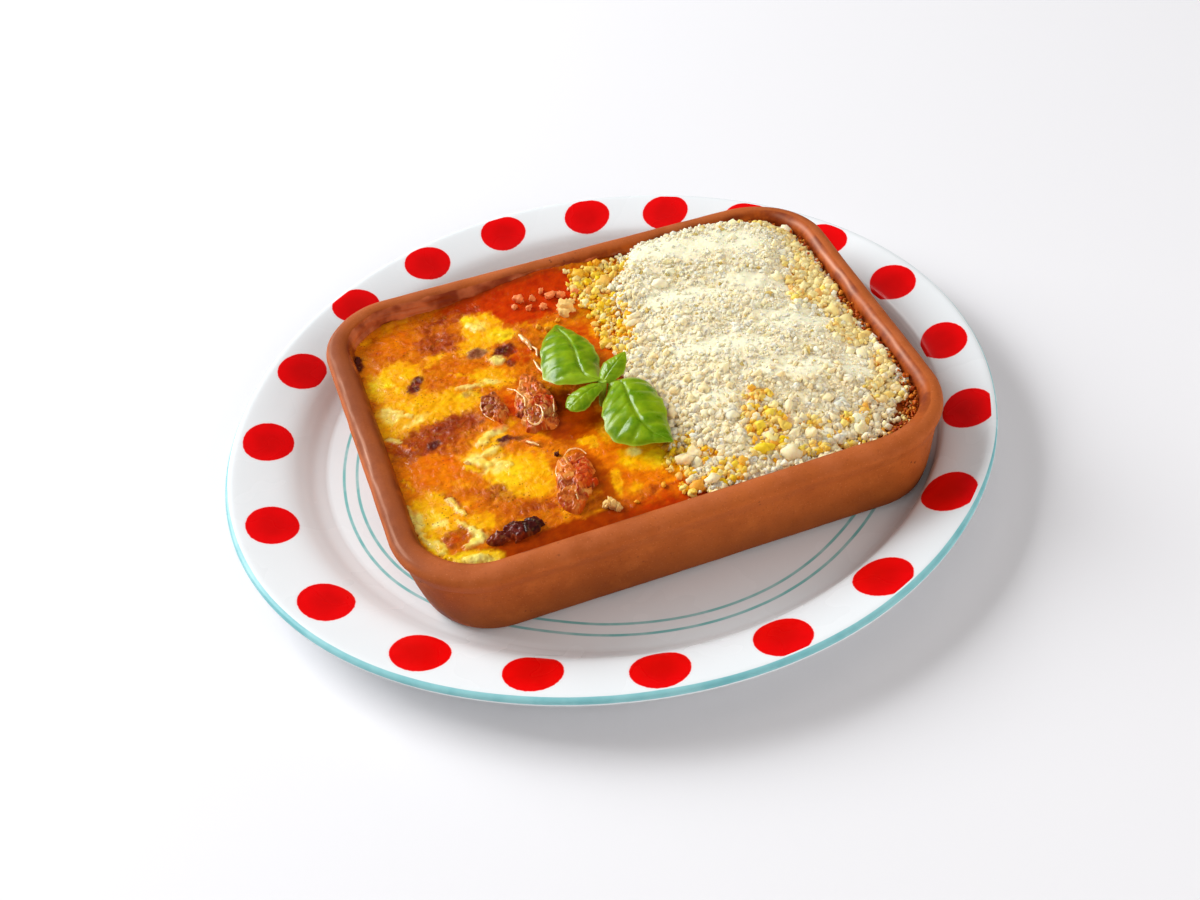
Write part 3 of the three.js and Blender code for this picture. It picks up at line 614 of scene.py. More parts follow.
PATCHES = [  # kind, x, y, half length, half width, turn in degrees, strength, softness, warp
    # right of the middle, mostly under the heap
    ("orange", 30, 20, 30, 60, 0, 0.6, 0.4, 5), ("yellow", 60, 0, 30, 60, 0, 0.5, 0.4, 5),
    # sauce at the back and in front
    ("red", -10, 58, 26, 13, 4, 1.0, 0.30, 4), ("red", -30, 66, 22, 7, 6, 0.9, 0.3, 3),
    ("red", -14, 55, 8, 6, 0, 0.7, 0.4, 3), ("red", 8, 34, 9, 30, 6, 0.55, 0.4, 4),
    ("liquid", -22, -70.5, 50, 5.6, 0, 1.0, 0.25, 2), ("liquid", 20, -73, 44, 5, 0, 1.0, 0.3, 2),
    ("liquid", -17, -16, 11, 15, 10, 0.95, 0.35, 3), ("deep", -18, -3, 6, 8, 0, 0.8, 0.5, 2.5),
    ("liquid", -14, -52, 9, 13, 12, 0.7, 0.45, 3), ("deep", -19, -62, 11, 4, -4, 0.5, 0.5, 2),
    ("orange", -8, -40, 10, 16, 10, 0.8, 0.5, 4), ("orange", 0, -60, 14, 9, 0, 0.8, 0.5, 3),
    ("red", 8, -68, 22, 5, 3, 0.5, 0.5, 3),
    # amber field at the back left, red-brown patch in it
    ("amber", -58, 54, 22, 15, 0, 0.9, 0.4, 5), ("scorch", -51, 50, 8, 7, 0, 0.75, 0.5, 4),
    ("scorch", -50, 62, 9, 5, 10, 0.45, 0.6, 4), ("orange", -66, 56, 8, 8, 0, 0.6, 0.5, 4),
    ("amber", -50, 30, 13, 11, 0, 0.8, 0.4, 4), ("orange", -44, 24, 9, 7, 0, 0.6, 0.5, 4),
    ("scorch", -40, 63, 12, 4, 4, 0.5, 0.6, 3),
    # yellow fields at the left and at the back
    ("yellow", -72, 32, 11, 12, 0, 0.95, 0.4, 5), ("bright", -77, 34, 5, 6, 0, 0.6, 0.6, 3),
    ("yellow", -76, 10, 8, 12, 0, 0.9, 0.4, 4), ("yellow", -60, 12, 17, 8, -10, 0.9, 0.45, 5),
    ("cream", -77, 14, 3.2, 5, 20, 0.6, 0.7, 2.5), ("cream", -70, 7, 6, 1.6, 20, 0.5, 0.8, 2),
    ("bright", -48, 12, 5, 4, 0, 0.5, 0.7, 3), ("grey", -47, 14, 2.2, 2.2, 0, 0.45, 0.8, 1.5),
    ("yellow", -33, 50, 8, 10, 20, 1.0, 0.4, 4), ("bright", -36, 56, 3, 5, 30, 0.9, 0.5, 2.5),
    ("bright", -27, 42, 6, 3.6, -25, 0.9, 0.5, 2.5), ("cream", -33, 52, 2, 3.6, 20, 0.5, 0.7, 2),
    ("yellow", -38, 40, 7, 5, 0, 0.8, 0.5, 3), ("yellow", -36, 20, 9, 6, -25, 0.9, 0.45, 4),
    ("cream", -38, 18, 4, 1.6, -25, 0.6, 0.7, 2), ("orange", -27, 22, 6, 8, 0, 0.6, 0.5, 3),
    ("yellow", -56, 40, 7, 3, 20, 0.5, 0.7, 4),
    # browned blisters between the back fields
    ("grey", -38.5, 36, 4.2, 3, -10, 0.9, 0.5, 2), ("brown", -39, 36.6, 3, 1.6, 0, 0.5, 0.7, 1.5),
    ("brown", -28, 33, 4.4, 3.6, -15, 1.0, 0.4, 2.2), ("burnt", -29, 33.6, 2, 2, 0, 0.7, 0.6, 1.2),
    ("cream", -32.5, 29, 2.6, 3, 0, 0.85, 0.5, 1.6), ("brown", -27.6, 25.5, 2, 3, 10, 0.85, 0.5, 1.5),
    ("red", -23, 27, 5, 5, 0, 0.6, 0.6, 3),
    # purple-brown spot at the left, and the wall corner
    ("burnt", -64.6, 27, 2.6, 5.6, -28, 1.0, 0.4, 1.6), ("scorch", -65, 26, 4, 7.5, -28, 0.4, 0.6, 2),
    ("brown", -82.5, 50, 2.6, 5, 0, 0.9, 0.5, 2), ("burnt", -83, 47, 1.8, 2.4, 0, 0.8, 0.5, 1.5),
    # scorched band across the left half
    ("scorch", -66, -5, 18, 8.5, 8, 0.85, 0.6, 5), ("scorch", -56, -1, 10, 6.5, 15, 0.75, 0.6, 4),
    ("brown", -58, -2, 6, 3, 15, 0.45, 0.8, 3), ("burnt", -65.6, -8.6, 3.2, 3.0, 0, 0.75, 0.6, 2),
    ("burnt", -48.6, -4.4, 2.4, 1.5, 10, 0.55, 0.6, 1.5), ("red", -80, -3, 4, 5, 0, 0.45, 0.6, 2.5),
    ("scorch", -70, -16, 8, 5, 0, 0.7, 0.5, 3), ("orange", -70, -22, 11, 9, 0, 0.9, 0.45, 4),
    ("scorch", -58, -13, 7, 4, 0, 0.4, 0.6, 3), ("amber", -52, -8, 8, 5, 0, 0.4, 0.6, 4),
    # middle: broken yellow skin around the meat
    ("orange", -36, 4, 5, 8, 0, 0.7, 0.5, 3), ("red", -34.5, 0, 2.4, 7, 0, 0.8, 0.5, 2),
    ("yellow", -46, -14, 7, 5, 0, 0.8, 0.5, 3), ("cream", -43, -12.6, 4, 1.6, 8, 0.8, 0.5, 1.5),
    ("yellow", -51, -23, 7, 6, 0, 0.9, 0.5, 3), ("cream", -54, -22.5, 3, 3, 0, 0.75, 0.6, 2),
    ("cream", -49, -28.5, 5, 2.4, 30, 0.8, 0.6, 2.2), ("burnt", -41.5, -17.6, 3, 1.8, -10, 1.0, 0.4, 1.4),
    ("brown", -36.5, -19, 4, 1.6, -15, 0.7, 0.5, 1.6), ("grey", -44, -20, 3, 1.6, 0, 0.5, 0.6, 1.6),
    ("orange", -31, -22, 5, 2, -20, 0.6, 0.6, 2), ("brown", -30, -26, 5, 1.2, -25, 0.4, 0.6, 1.6),
    # big smooth yellow field
    ("yellow", -42, -38, 11.5, 12, 0, 1.0, 0.28, 3.5), ("bright", -45, -36, 6, 7, 20, 0.8, 0.6, 3),
    ("cream", -47, -31, 3.6, 2, 30, 0.7, 0.6, 2), ("yellow", -36, -46, 6, 5, 0, 0.9, 0.4, 3),
    # red-brown skin below and left of it
    ("scorch", -50, -46, 9, 4.4, -30, 0.5, 0.6, 3.0), ("scorch", -51, -41, 4, 3, 0, 0.6, 0.6, 2.5),
    ("amber", -46, -54, 12, 5.5, -8, 0.9, 0.4, 3), ("scorch", -41, -55, 8, 3, -12, 0.55, 0.5, 3),
    ("orange", -64, -30, 7, 6, 0, 0.5, 0.6, 4),
    # lower left: yellow with cream, red patch
    ("yellow", -73, -46, 9, 13, 10, 1.0, 0.35, 4), ("bright", -76, -47, 5, 6, 0, 0.6, 0.6, 3),
    ("cream", -80, -45, 2.2, 5, 0, 0.85, 0.5, 1.8), ("cream", -73, -50, 2.6, 1.8, 0, 0.7, 0.6, 1.8),
    ("scorch", -66.5, -40, 1.6, 5, 28, 0.8, 0.5, 1.8), ("pink", -66, -42, 1.4, 2.6, 20, 0.6, 0.6, 1.3),
    ("scorch", -70.5, -58.5, 7, 4.4, 25, 0.62, 0.5, 2.6), ("red", -70, -59, 4, 2.4, 20, 0.35, 0.6, 1.8),
    ("pink", -74, -61.5, 3, 1.2, 30, 0.6, 0.6, 1.2), ("bright", -77, -60, 2.2, 7, 26, 0.9, 0.45, 1.8),
    ("cream", -78, -58, 1.2, 5, 26, 0.7, 0.6, 1.5), ("bright", -66, -70, 9, 3.2, -14, 1.0, 0.4, 2),
    ("cream", -66, -71, 6.5, 1.4, -14, 0.85, 0.5, 1.4), ("cream", -63, -62.6, 3.4, 2, 10, 0.9, 0.5, 1.6),
    ("yellow", -60, -55, 5, 5, 0, 0.7, 0.5, 3), ("bright", -62, -57, 2.6, 2, 0, 0.6, 0.6, 2),
    # around the second piece of meat and right of it
    ("liquid", -17, -44, 4, 10, 10, 0.6, 0.5, 2.5), ("yellow", -14.5, -30, 3.6, 2.6, 0, 0.9, 0.5, 2),
    ("bright", -13, -34, 2, 1.8, 0, 0.7, 0.6, 1.5), ("yellow", -11.5, -54, 1.8, 7, -8, 0.8, 0.5, 2),
    ("yellow", -6, -28, 4, 6, 0, 0.7, 0.5, 2.5), ("yellow", 0, -44, 7, 4.6, -10, 0.95, 0.45, 2.5),
    ("yellow", 4, -47.5, 12, 6.5, -8, 0.95, 0.4, 3), ("bright", 7, -49, 7, 4, 0, 0.8, 0.5, 2.4),
    ("cream", -1.5, -42.5, 3, 2.2, 0, 0.8, 0.5, 1.8), ("bright", 5, -47, 5, 3, 0, 0.7, 0.5, 2),
    ("scorch", -4, -64, 10, 3, 8, 0.4, 0.6, 2.5), ("yellow", -7, -60, 3, 3, 0, 0.6, 0.6, 2),
    ("yellow", 12, -56, 7, 6, 0, 0.8, 0.5, 3),
    # crumbs fringe at the back
    ("yellow", 12, 40, 7, 14, 0, 0.5, 0.6, 4), ("orange", 14, 20, 8, 14, 0, 0.6, 0.6, 4),
    ("yellow", 9, 28, 4, 4, 0, 0.6, 0.6, 3),
    # browned sauce along the right wall
    ("crust", 92, -40, 9, 34, 0, 0.9, 0.4, 4), ("crust", 84, -70, 20, 7, 6, 0.9, 0.4, 4),
    ("crust", 90, -60, 14, 14, 0, 1.0, 0.4, 4), ("deep", 95, -60, 5, 8, 20, 0.5, 0.6, 3),
    ("scorch", 94, 30, 6, 26, 0, 0.6, 0.5, 4), ("crust", 92, 66, 14, 12, 0, 0.7, 0.5, 4),
]


def paint_food(x, y):
    """Colour, wetness and relief strength of the food's top at points in mm."""
    w1x = fbm2(x / 9, y / 9, 3, 101)
    w1y = fbm2(x / 9, y / 9, 3, 202)
    w2x = fbm2(x / 2.6, y / 2.6, 3, 303)
    w2y = fbm2(x / 2.6, y / 2.6, 3, 404)
    w3x = fbm2(x / 1.15, y / 1.15, 2, 505)
    w3y = fbm2(x / 1.15, y / 1.15, 2, 606)
    tone = 0.5 + 0.5 * np.clip(fbm2(x / 4, y / 4, 4, 77) * 1.9, -1, 1)
    # how readily each spot takes the colour of a patch: gives broken, blotched borders
    fields = [0.5 + 0.45 * np.tanh(1.7 * fbm2((x + 1.4 * w2x) / 3.6, (y + 1.4 * w2y) / 3.2, 3, 811 + k)) for k in range(4)]
    rgb = np.zeros((len(x), 3))
    a, b, wet0, rel0 = KINDS["amber"]
    rgb[:] = np.array(a) * (1 - tone[:, None]) + np.array(b) * tone[:, None]
    wet = np.full(len(x), wet0)
    rel = np.full(len(x), rel0)
    # broad drift between orange and amber
    drift = smooth(-0.25, 0.35, fbm2(x / 17, y / 17, 3, 55))
    o = np.array(KINDS["orange"][0])
    rgb = rgb * (1 - 0.6 * drift[:, None]) + o * 0.6 * drift[:, None]
    golden = (0.75 * smooth(0.02, 0.38, fbm2((x + 2 * w1x) / 7, (y + 2 * w1y) / 6, 3, 56)))[:, None]
    rgb = rgb * (1 - golden) + np.array(KINDS["yellow"][1]) * golden
    for i, (kind, cx, cy, hl, hw, turn, strength, soft, warp) in enumerate(PATCHES):
        t = math.radians(turn)
        reach = max(hl, hw) * 1.6 + warp * 2
        sel = np.nonzero((np.abs(x - cx) < reach) & (np.abs(y - cy) < reach))[0]
        if not len(sel):
            continue
        near = min(warp, 2.6) * 0.3
        px = x[sel] + warp * (0.62 * w1x[sel] + 0.6 * w2x[sel]) + near * w3x[sel] - cx
        py = y[sel] + warp * (0.62 * w1y[sel] + 0.6 * w2y[sel]) + near * w3y[sel] - cy
        u = px * math.cos(t) + py * math.sin(t)
        v = -px * math.sin(t) + py * math.cos(t)
        d = np.sqrt((u / hl) ** 2 + (v / hw) ** 2)
        even = strength * smooth(1 + 0.75 * soft, 1 - 0.75 * soft, d)
        take = fields[i % 4][sel]
        m = (0.5 * even + 0.5 * smooth(take - 0.26, take + 0.26, even)) * smooth(0.0, 0.1, even)
        ca, cb, kw, kr = KINDS[kind]
        tn = tone[sel][:, None]
        c = np.array(ca) * (1 - tn) + np.array(cb) * tn
        rgb[sel] = rgb[sel] * (1 - m[:, None]) + c * m[:, None]
        wet[sel] = wet[sel] * (1 - m) + kw * m
        rel[sel] = rel[sel] * (1 - m) + kr * m
    # browner and more golden clouds over everything but the sauce
    firm = np.clip(rel, 0, 1)
    brown = (0.5 * smooth(0.08, 0.5, fbm2((x + 1.5 * w1x) / 5.5, (y + 1.5 * w1y) / 4.6, 4, 57)) * firm)[:, None]
    rgb = rgb * (1 - brown * np.array([0.16, 0.46, 0.6]))
    light = (0.5 * smooth(0.12, 0.5, fbm2((x - 1.5 * w1y) / 5.0, (y + 1.5 * w1x) / 4.2, 4, 58)) * firm)[:, None]
    rgb = rgb * (1 - light) + np.minimum(rgb * np.array([1.12, 1.55, 1.9]), 1) * light
    # blotches and threads inside every colour, weak in the smooth sauce
    wx, wy = x + 1.3 * w2x, y + 1.3 * w2y
    broad = fbm2(wx / 3.4, wy / 3.0, 4, 901)
    small = fbm2((wx + 0.5 * w3x) / 1.35, (wy + 0.5 * w3y) / 1.2, 2, 902)
    thread = (1 - np.abs(noise2(wx / 2.2, wy / 1.5, 903))) ** 4 - 0.2
    k = np.clip(0.6 * broad + 0.2 * small + 0.16 * thread, -1, 1) * np.clip(rel + 0.1, 0.15, 1.1)
    rgb = rgb * (1 + k[:, None] * np.array([0.2, 0.5, 0.7]))
    # drawn strings and folds of melted cheese
    fold = np.zeros(len(x))
    for x0, y0, x1, y1, half, tall, kind in STRANDS:
        px, py = x + 1.7 * w2x + 0.35 * w3x, y + 1.7 * w2y + 0.35 * w3y
        u = np.clip(((px - x0) * (x1 - x0) + (py - y0) * (y1 - y0)) / ((x1 - x0) ** 2 + (y1 - y0) ** 2), 0, 1)
        width = 1.35 * half * (0.5 + 0.5 * np.sin(math.pi * np.clip(u, 0.02, 0.98))) * (1 + 0.5 * w2y)
        off = np.hypot(px - x0 - u * (x1 - x0), py - y0 - u * (y1 - y0)) / width
        m = 0.8 * smooth(1.35, 0.3, off)
        ca, cb = (np.array(c) for c in KINDS[kind][:2])
        rgb = rgb * (1 - 0.9 * m[:, None]) + (ca * (1 - tone[:, None]) + cb * tone[:, None]) * 0.9 * m[:, None]
        # painted shade: a darker line along the crease where it lies on the surface
        rim = np.exp(-((off - 1.4) / 0.3) ** 2) * 0.28
        rgb = rgb * (1 - rim[:, None] * np.array([0.3, 0.55, 0.6]))
        fold = np.maximum(fold, tall * np.sqrt(np.clip(1 - (off / 1.2) ** 2, 0, 1)))
    return rgb, wet, rel, fold


STRANDS = [  # x, y of both ends, half width, height, kind
    (-67.8, -38.1, -65.9, -45.0, 0.8, 0.7, "cream"), (-65.9, -45.0, -64.0, -49.2, 0.9, 0.7, "cream"),
    (-77.2, -53.7, -75.8, -58.9, 0.7, 0.6, "bright"), (-75.8, -58.9, -74.9, -64.9, 0.8, 0.6, "cream"),
    (-67.1, -51.5, -62.8, -59.1, 0.7, 0.6, "cream"), (-64.0, -57.0, -61.8, -62.6, 1.3, 0.9, "cream"),
    (-75.4, -66.4, -68.0, -69.9, 1.1, 0.8, "bright"), (-69.5, -69.6, -62.2, -70.8, 1.3, 0.9, "cream"),
    (-81.8, -37.7, -81.6, -47.0, 1.0, 0.8, "cream"), (-81.6, -46.0, -80.0, -54.5, 1.2, 0.9, "cream"),
    (-79.0, -55.0, -75.6, -62.5, 0.8, 0.6, "bright"), (-67.9, -64.5, -61.2, -63.0, 1.2, 0.8, "cream"),
    (-80.2, -22.7, -77.4, -30.4, 0.7, 0.6, "yellow"), (-79.3, 18.6, -72.6, 13.4, 0.9, 0.5, "cream"),
    (-76.0, 13.4, -69.5, 10.2, 0.8, 0.5, "cream"), (-80.5, 1.4, -76.6, -1.6, 1.0, 0.6, "cream"),
    (-77.2, -3.4, -72.2, -9.0, 0.6, 0.5, "orange"), (-50.5, 18.4, -40.9, 17.2, 0.8, 0.5, "cream"),
    (-43.5, 14.5, -38.0, 16.8, 0.6, 0.4, "bright"), (-50.4, -22.6, -45.2, -21.0, 1.6, 0.8, "cream"),
    (-54.6, -23.4, -50.0, -27.4, 1.3, 0.8, "cream"), (-50.2, -16.0, -44.6, -11.6, 1.7, 0.9, "cream"),
    (-44.0, -11.4, -38.8, -10.8, 1.2, 0.8, "pink"), (-36.0, -21.4, -31.5, -24.4, 0.9, 0.7, "pink"),
    (-47.0, -28.6, -42.6, -30.8, 0.9, 0.6, "cream"), (-37.5, 55.0, -33.6, 49.0, 1.2, 0.6, "cream"),
    (-30.0, 45.0, -24.4, 41.2, 1.0, 0.6, "bright"), (-35.0, 29.6, -31.0, 27.8, 1.4, 0.9, "cream"),
    (-52.0, 28.6, -45.0, 24.0, 0.6, 0.4, "yellow"), (-58.0, -24.6, -54.6, -29.4, 0.7, 0.5, "bright"),
]


def food_relief(x, y, rel):
    """Fine shape of the baked surface, mm."""
    wx = x + 1.6 * fbm2(x / 5, y / 5, 2, 12)
    wy = y + 1.6 * fbm2(x / 5, y / 5, 2, 13)
    z = 0.42 * fbm2(wx / 8, wy / 8, 3, 14)
    ridge = 1 - np.abs(noise2(wx / 3.4, wy / 4.4, 15))
    z = z + 0.30 * (ridge ** 3 - 0.35)
    z = z + 0.16 * noise2(wx / 1.5, wy / 1.5, 16)
    blister, _ = cells2(wx / 3.1, wy / 3.1, 17)
    z = z + 0.28 * (0.45 - blister) * smooth(-0.1, 0.4, noise2(x / 11, y / 11, 18))
    return 1.3 * z * rel


def food_top(x, y):
    rgb, wet, rel, fold = paint_food(x, y)
    return food_height(x, y) + food_relief(x, y, rel) + fold, rgb, wet, rel


def squared_grid(nx, ny, inset):
    """Grid that follows the rounded inner outline of the dish."""
    hx, hy = DISH_LENGTH / 2 - inset, DISH_WIDTH / 2 - inset
    u = np.linspace(-1, 1, nx)
    v = np.linspace(-1, 1, ny)
    U, V = np.meshgrid(u, v)
    c = DISH_CORNERS
    r = np.where(V > 0, np.where(U > 0, c[0], c[1]), np.where(U > 0, c[3], c[2])) - inset
    m = np.maximum(np.maximum(np.abs(U), np.abs(V)), 1e-9)
    bx, by = hx * U / m, hy * V / m
    qx, qy = np.abs(bx) - (hx - r), np.abs(by) - (hy - r)
    corner = (qx > 0) & (qy > 0)
    length = np.maximum(np.hypot(qx, qy), 1e-9)
    nxp = np.where(corner, np.sign(bx) * (hx - r + qx / length * r), bx)
    nyp = np.where(corner, np.sign(by) * (hy - r + qy / length * r), by)
    # the pull towards the corners fades to nothing in the middle
    k = m ** 3
    px = m * (bx * (1 - k) + nxp * k)
    py = m * (by * (1 - k) + nyp * k)
    return placed(np.stack([px.ravel(), py.ravel()], 1), hx, hy, 1.0)


def make_lasagna():
    nx, ny = 280, 228
    p = squared_grid(nx, ny, wall_inset(28.5) - 0.6)
    x, y = p.T
    z, rgb, wet, rel = food_top(x, y)
    d = wall_distance(x, y, wall_inset(28.5))
    z = z + 0.7 * np.exp(-np.maximum(d, 0) / 1.3) - 0.9 * np.exp(-((d - 4.5) / 3.0) ** 2) * 0.35
    # sauce shows along the walls
    seam = smooth(2.4, 0.2, d + 1.1 * fbm2(x / 5, y / 5, 3, 61))
    along = (0.55 + 0.45 * fbm2(x / 24, y / 24, 2, 62)) * (0.3 + 0.7 * smooth(-88, -66, x))
    edge = np.array(lin(132, 46, 4))
    rgb = rgb * (1 - (seam * along * 0.85)[:, None]) + edge * (seam * along * 0.85)[:, None]
    # fine cooked specks, and painted highlights: small lighter patches standing for oily glints
    speck = smooth(0.42, 0.6, fbm2(x / 1.1, y / 1.1, 2, 71)) * smooth(0.0, 0.3, fbm2(x / 8, y / 8, 2, 72))
    rgb = rgb * (1 - np.array([0.3, 0.45, 0.5]) * (speck * np.clip(rel, 0.2, 1))[:, None])
    glint = smooth(0.35, 0.7, fbm2(x / 1.7, y / 2.6, 2, 73))
    rgb = rgb * (1 + 0.16 * glint[:, None])
    streak = fbm2(x / 3.0 + y / 5.0, y / 1.3 - x / 4.0, 3, 74)
    rgb = rgb * (1 + 0.13 * np.clip(streak * 1.6, -1, 1)[:, None])

    grid = np.arange(nx * ny).reshape(ny, nx)
    top = np.stack([grid[:-1, :-1], grid[:-1, 1:], grid[1:, 1:], grid[1:, :-1]], -1).reshape(-1, 4)
    border = np.concatenate([grid[0, :-1], grid[:-1, -1], grid[-1, :0:-1], grid[:0:-1, 0]])
    nb = len(border)
    c = np.array(DISH_CENTRE)
    base = len(x)
    low = []
    for zz, s in ((24.0, 0.985), (16.5, 0.955), (12.6, 0.90)):
        q = c + (p[border] - c) * s
        low.append(np.column_stack([q, np.full(nb, zz)]))
    verts = np.vstack([np.column_stack([x, y, z]), *low, [[c[0], c[1], 12.6]]])
    j = (np.arange(nb) + 1) % nb
    i = np.arange(nb)
    skirt = [np.stack([border[j], border[i], base + i, base + j], 1)]
    for k in range(2):
        o = base + k * nb
        skirt.append(np.stack([o + j, o + i, o + nb + i, o + nb + j], 1))
    o = base + 2 * nb
    bottom = np.stack([np.full(nb, base + 3 * nb), o + j, o + i], 1)

    w = Net("baked_top")
    col = w.attr("paint", "Color")
    fine = w.noise(1500, 4, 0.6)
    mid = w.noise(520, 4, 0.6, 0.4)
    wetn = w.attr("wet")
    firm = w.attr("relief")
    col = w.mix(w.math("MULTIPLY", w.math("MULTIPLY", w.ramp(fine, 0.5, 0.66), 0.1), firm), col,
                w.mix(0.62, col, lin(150, 60, 4), "MULTIPLY"))
    col = w.mix(w.math("MULTIPLY", w.math("MULTIPLY", w.ramp(mid, 0.54, 0.68), 0.16), firm), col,
                w.mix(0.55, col, lin(255, 206, 60)))
    # small dark baked specks here and there
    pepper = w.ramp(w.cells(640), 0.16, 0.27, 1.0, 0.0)
    pepper = w.math("MULTIPLY", pepper, w.ramp(w.noise(95, 2), 0.53, 0.62))
    col = w.mix(w.math("MULTIPLY", w.math("MULTIPLY", pepper, firm), 0.7), col, lin(112, 40, 8))
    rough = w.ramp(w.math("ADD", wetn, w.math("MULTIPLY", w.math("SUBTRACT", mid, 0.5), 0.5)), 0.2, 0.95, 0.36, 0.12)
    lumps = w.noise(210, 5, 0.62, 0.8)
    bump = w.bump(lumps, w.math("MULTIPLY", firm, 0.72), 1.5)
    bump = w.bump(mid, w.math("MULTIPLY", firm, 0.22), 0.35, bump)
    bump = w.bump(fine, w.math("MULTIPLY", firm, 0.1), 0.1, bump)
    mat = w.surface(Base_Color=col, Roughness=rough, IOR=1.44, Specular_IOR_Level=0.13,
                    Coat_Weight=w.math("MULTIPLY", wetn, 0.42), Coat_Roughness=0.05, Normal=bump)
    ob = new_mesh("lasagna_baked", verts, [top[:, ::1], *skirt, bottom], "baked_cheese", mat)
    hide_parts("lasagna")
    n_extra = len(verts) - len(x)
    side = np.tile(lin(150, 60, 14), (n_extra, 1))
    put_color(ob, "paint", np.vstack([rgb, side]))
    put_float(ob, "wet", np.concatenate([wet, np.full(n_extra, 0.6)]))
    put_float(ob, "relief", np.concatenate([np.clip(rel, 0, 1.3), np.full(n_extra, 0.6)]))
    return ob


# ------------------------------------------------------------------ heap of grated cheese
HEAP_CENTRE = (54.0, -3.0)
HEAP_THICKNESS, HEAP_EDGE = 7.4, 1.0
HEAP_REACH = np.array([
    (-180, 43), (-166, 42), (-152, 44), (-139, 50.5), (-126, 67), (-120, 77), (-112, 77.5), (-104, 74.5), (-90, 72),
    (-78, 68), (-66, 65), (-56, 62), (-47, 61), (-38, 58), (-26, 50), (-14, 42.5), (-4, 40), (8, 44),
    (21, 48), (42, 62), (55, 74), (70, 76), (90, 76.5), (104, 77), (110, 72.5), (120, 60), (138, 47.5),
    (149, 44), (164, 42.5), (180, 43)])
HEAP_SLOPE = (2.6, 19)
HEAP_RIDGES = [(60, 44, -0.25, 40, 13, 1.9), (54, 10, -0.36, 42, 10, 1.3), (56, -30, -0.22, 44, 12, 1.5),
               (62, 64, -0.1, 24, 9, 1.5), (79, 62, -0.3, 13, 9, 1.6)]
SOFT_BANDS = [  # crest lines on the heap: x, y, angle, half length, width behind, width in front, rise
    (50, 50, -0.30, 34, 9, 12, 0.9), (68, 6, -0.40, 26, 5, 8, 0.9), (42, -14, -0.36, 22, 5, 8, 0.7),
    (74, -38, -0.34, 24, 3.2, 12, 1.3), (34, -52, -0.30, 16, 5, 7, 0.5),
]
HOLLOWS = [(56, 24, -0.35, 20, 5, 0.9), (52, -27, -0.36, 22, 3.5, 0.8), (53, -10, -0.3, 10, 4, 0.5),
           (86, 16, -0.4, 12, 8, 1.3), (90, -26, -0.3, 8, 7, 1.0)]


def heap_outline_table():
    deg = np.linspace(-180, 180, 1440, endpoint=False)
    r = np.mean([np.interp(deg + k, HEAP_REACH[:, 0], HEAP_REACH[:, 1], period=360) for k in (-4, -2, 0, 2, 4)], axis=0)
    t = np.radians(deg)
    r = r + 0.9 * np.sin(9 * t) + np.where(np.sin(t) < 0.8, 0.7 * np.sin(23 * t) + 0.5 * np.sin(41 * t + 1), 0)
    return t, r


HEAP_PHI, HEAP_RAD = heap_outline_table()


def heap_share(x, y):
    """0 in the middle of the heap, 1 on its outline."""
    dx, dy = x - HEAP_CENTRE[0], y - HEAP_CENTRE[1]
    return np.hypot(dx, dy) / np.interp(np.arctan2(dy, dx), HEAP_PHI, HEAP_RAD, period=2 * np.pi)


def heap_top(x, y):
    s = np.minimum(heap_share(x, y), 1.0)
    t = HEAP_THICKNESS
    for cx, cy, ang, hl, hw, rise in HEAP_RIDGES:
        u = (x - cx) * math.cos(ang) + (y - cy) * math.sin(ang)
        v = -(x - cx) * math.sin(ang) + (y - cy) * math.cos(ang)
        t = t + rise * np.exp(-0.5 * ((u / hl) ** 2 + (v / hw) ** 2)) - 0.35
    t = t + 0.35 * np.sin(0.31 * x + 0.9) * np.sin(0.27 * y + 0.4)
    dx, dy = x - HEAP_CENTRE[0], y - HEAP_CENTRE[1]
    back = smooth(0.75, 0.93, dy / np.maximum(1, np.hypot(dx, dy)))
    body = 1 - s ** (HEAP_SLOPE[0] + (HEAP_SLOPE[1] - HEAP_SLOPE[0]) * back)
    soft = -0.45
    for cx, cy, ang, hl, back, front, rise in SOFT_BANDS:
        u = (x - cx) * math.cos(ang) + (y - cy) * math.sin(ang)
        v = -(x - cx) * math.sin(ang) + (y - cy) * math.cos(ang) + 1.6 * np.sin(u / 7.0 + cx)
        soft = soft + rise * np.exp(-(u / hl) ** 2 - (v / np.where(v > 0, back, front)) ** 2)
    for cx, cy, ang, hl, hw, drop in HOLLOWS:
        u = (x - cx) * math.cos(ang) + (y - cy) * math.sin(ang)
        v = -(x - cx) * math.sin(ang) + (y - cy) * math.cos(ang)
        soft = soft - drop * np.exp(-(u / hl) ** 2 - (v / hw) ** 2)
    soft = soft + 0.45 * fbm2(x / 9, y / 9, 3, 501)
    return food_height(x, y) + GAP + HEAP_EDGE + t * body + soft * smooth(1.0, 0.8, s)


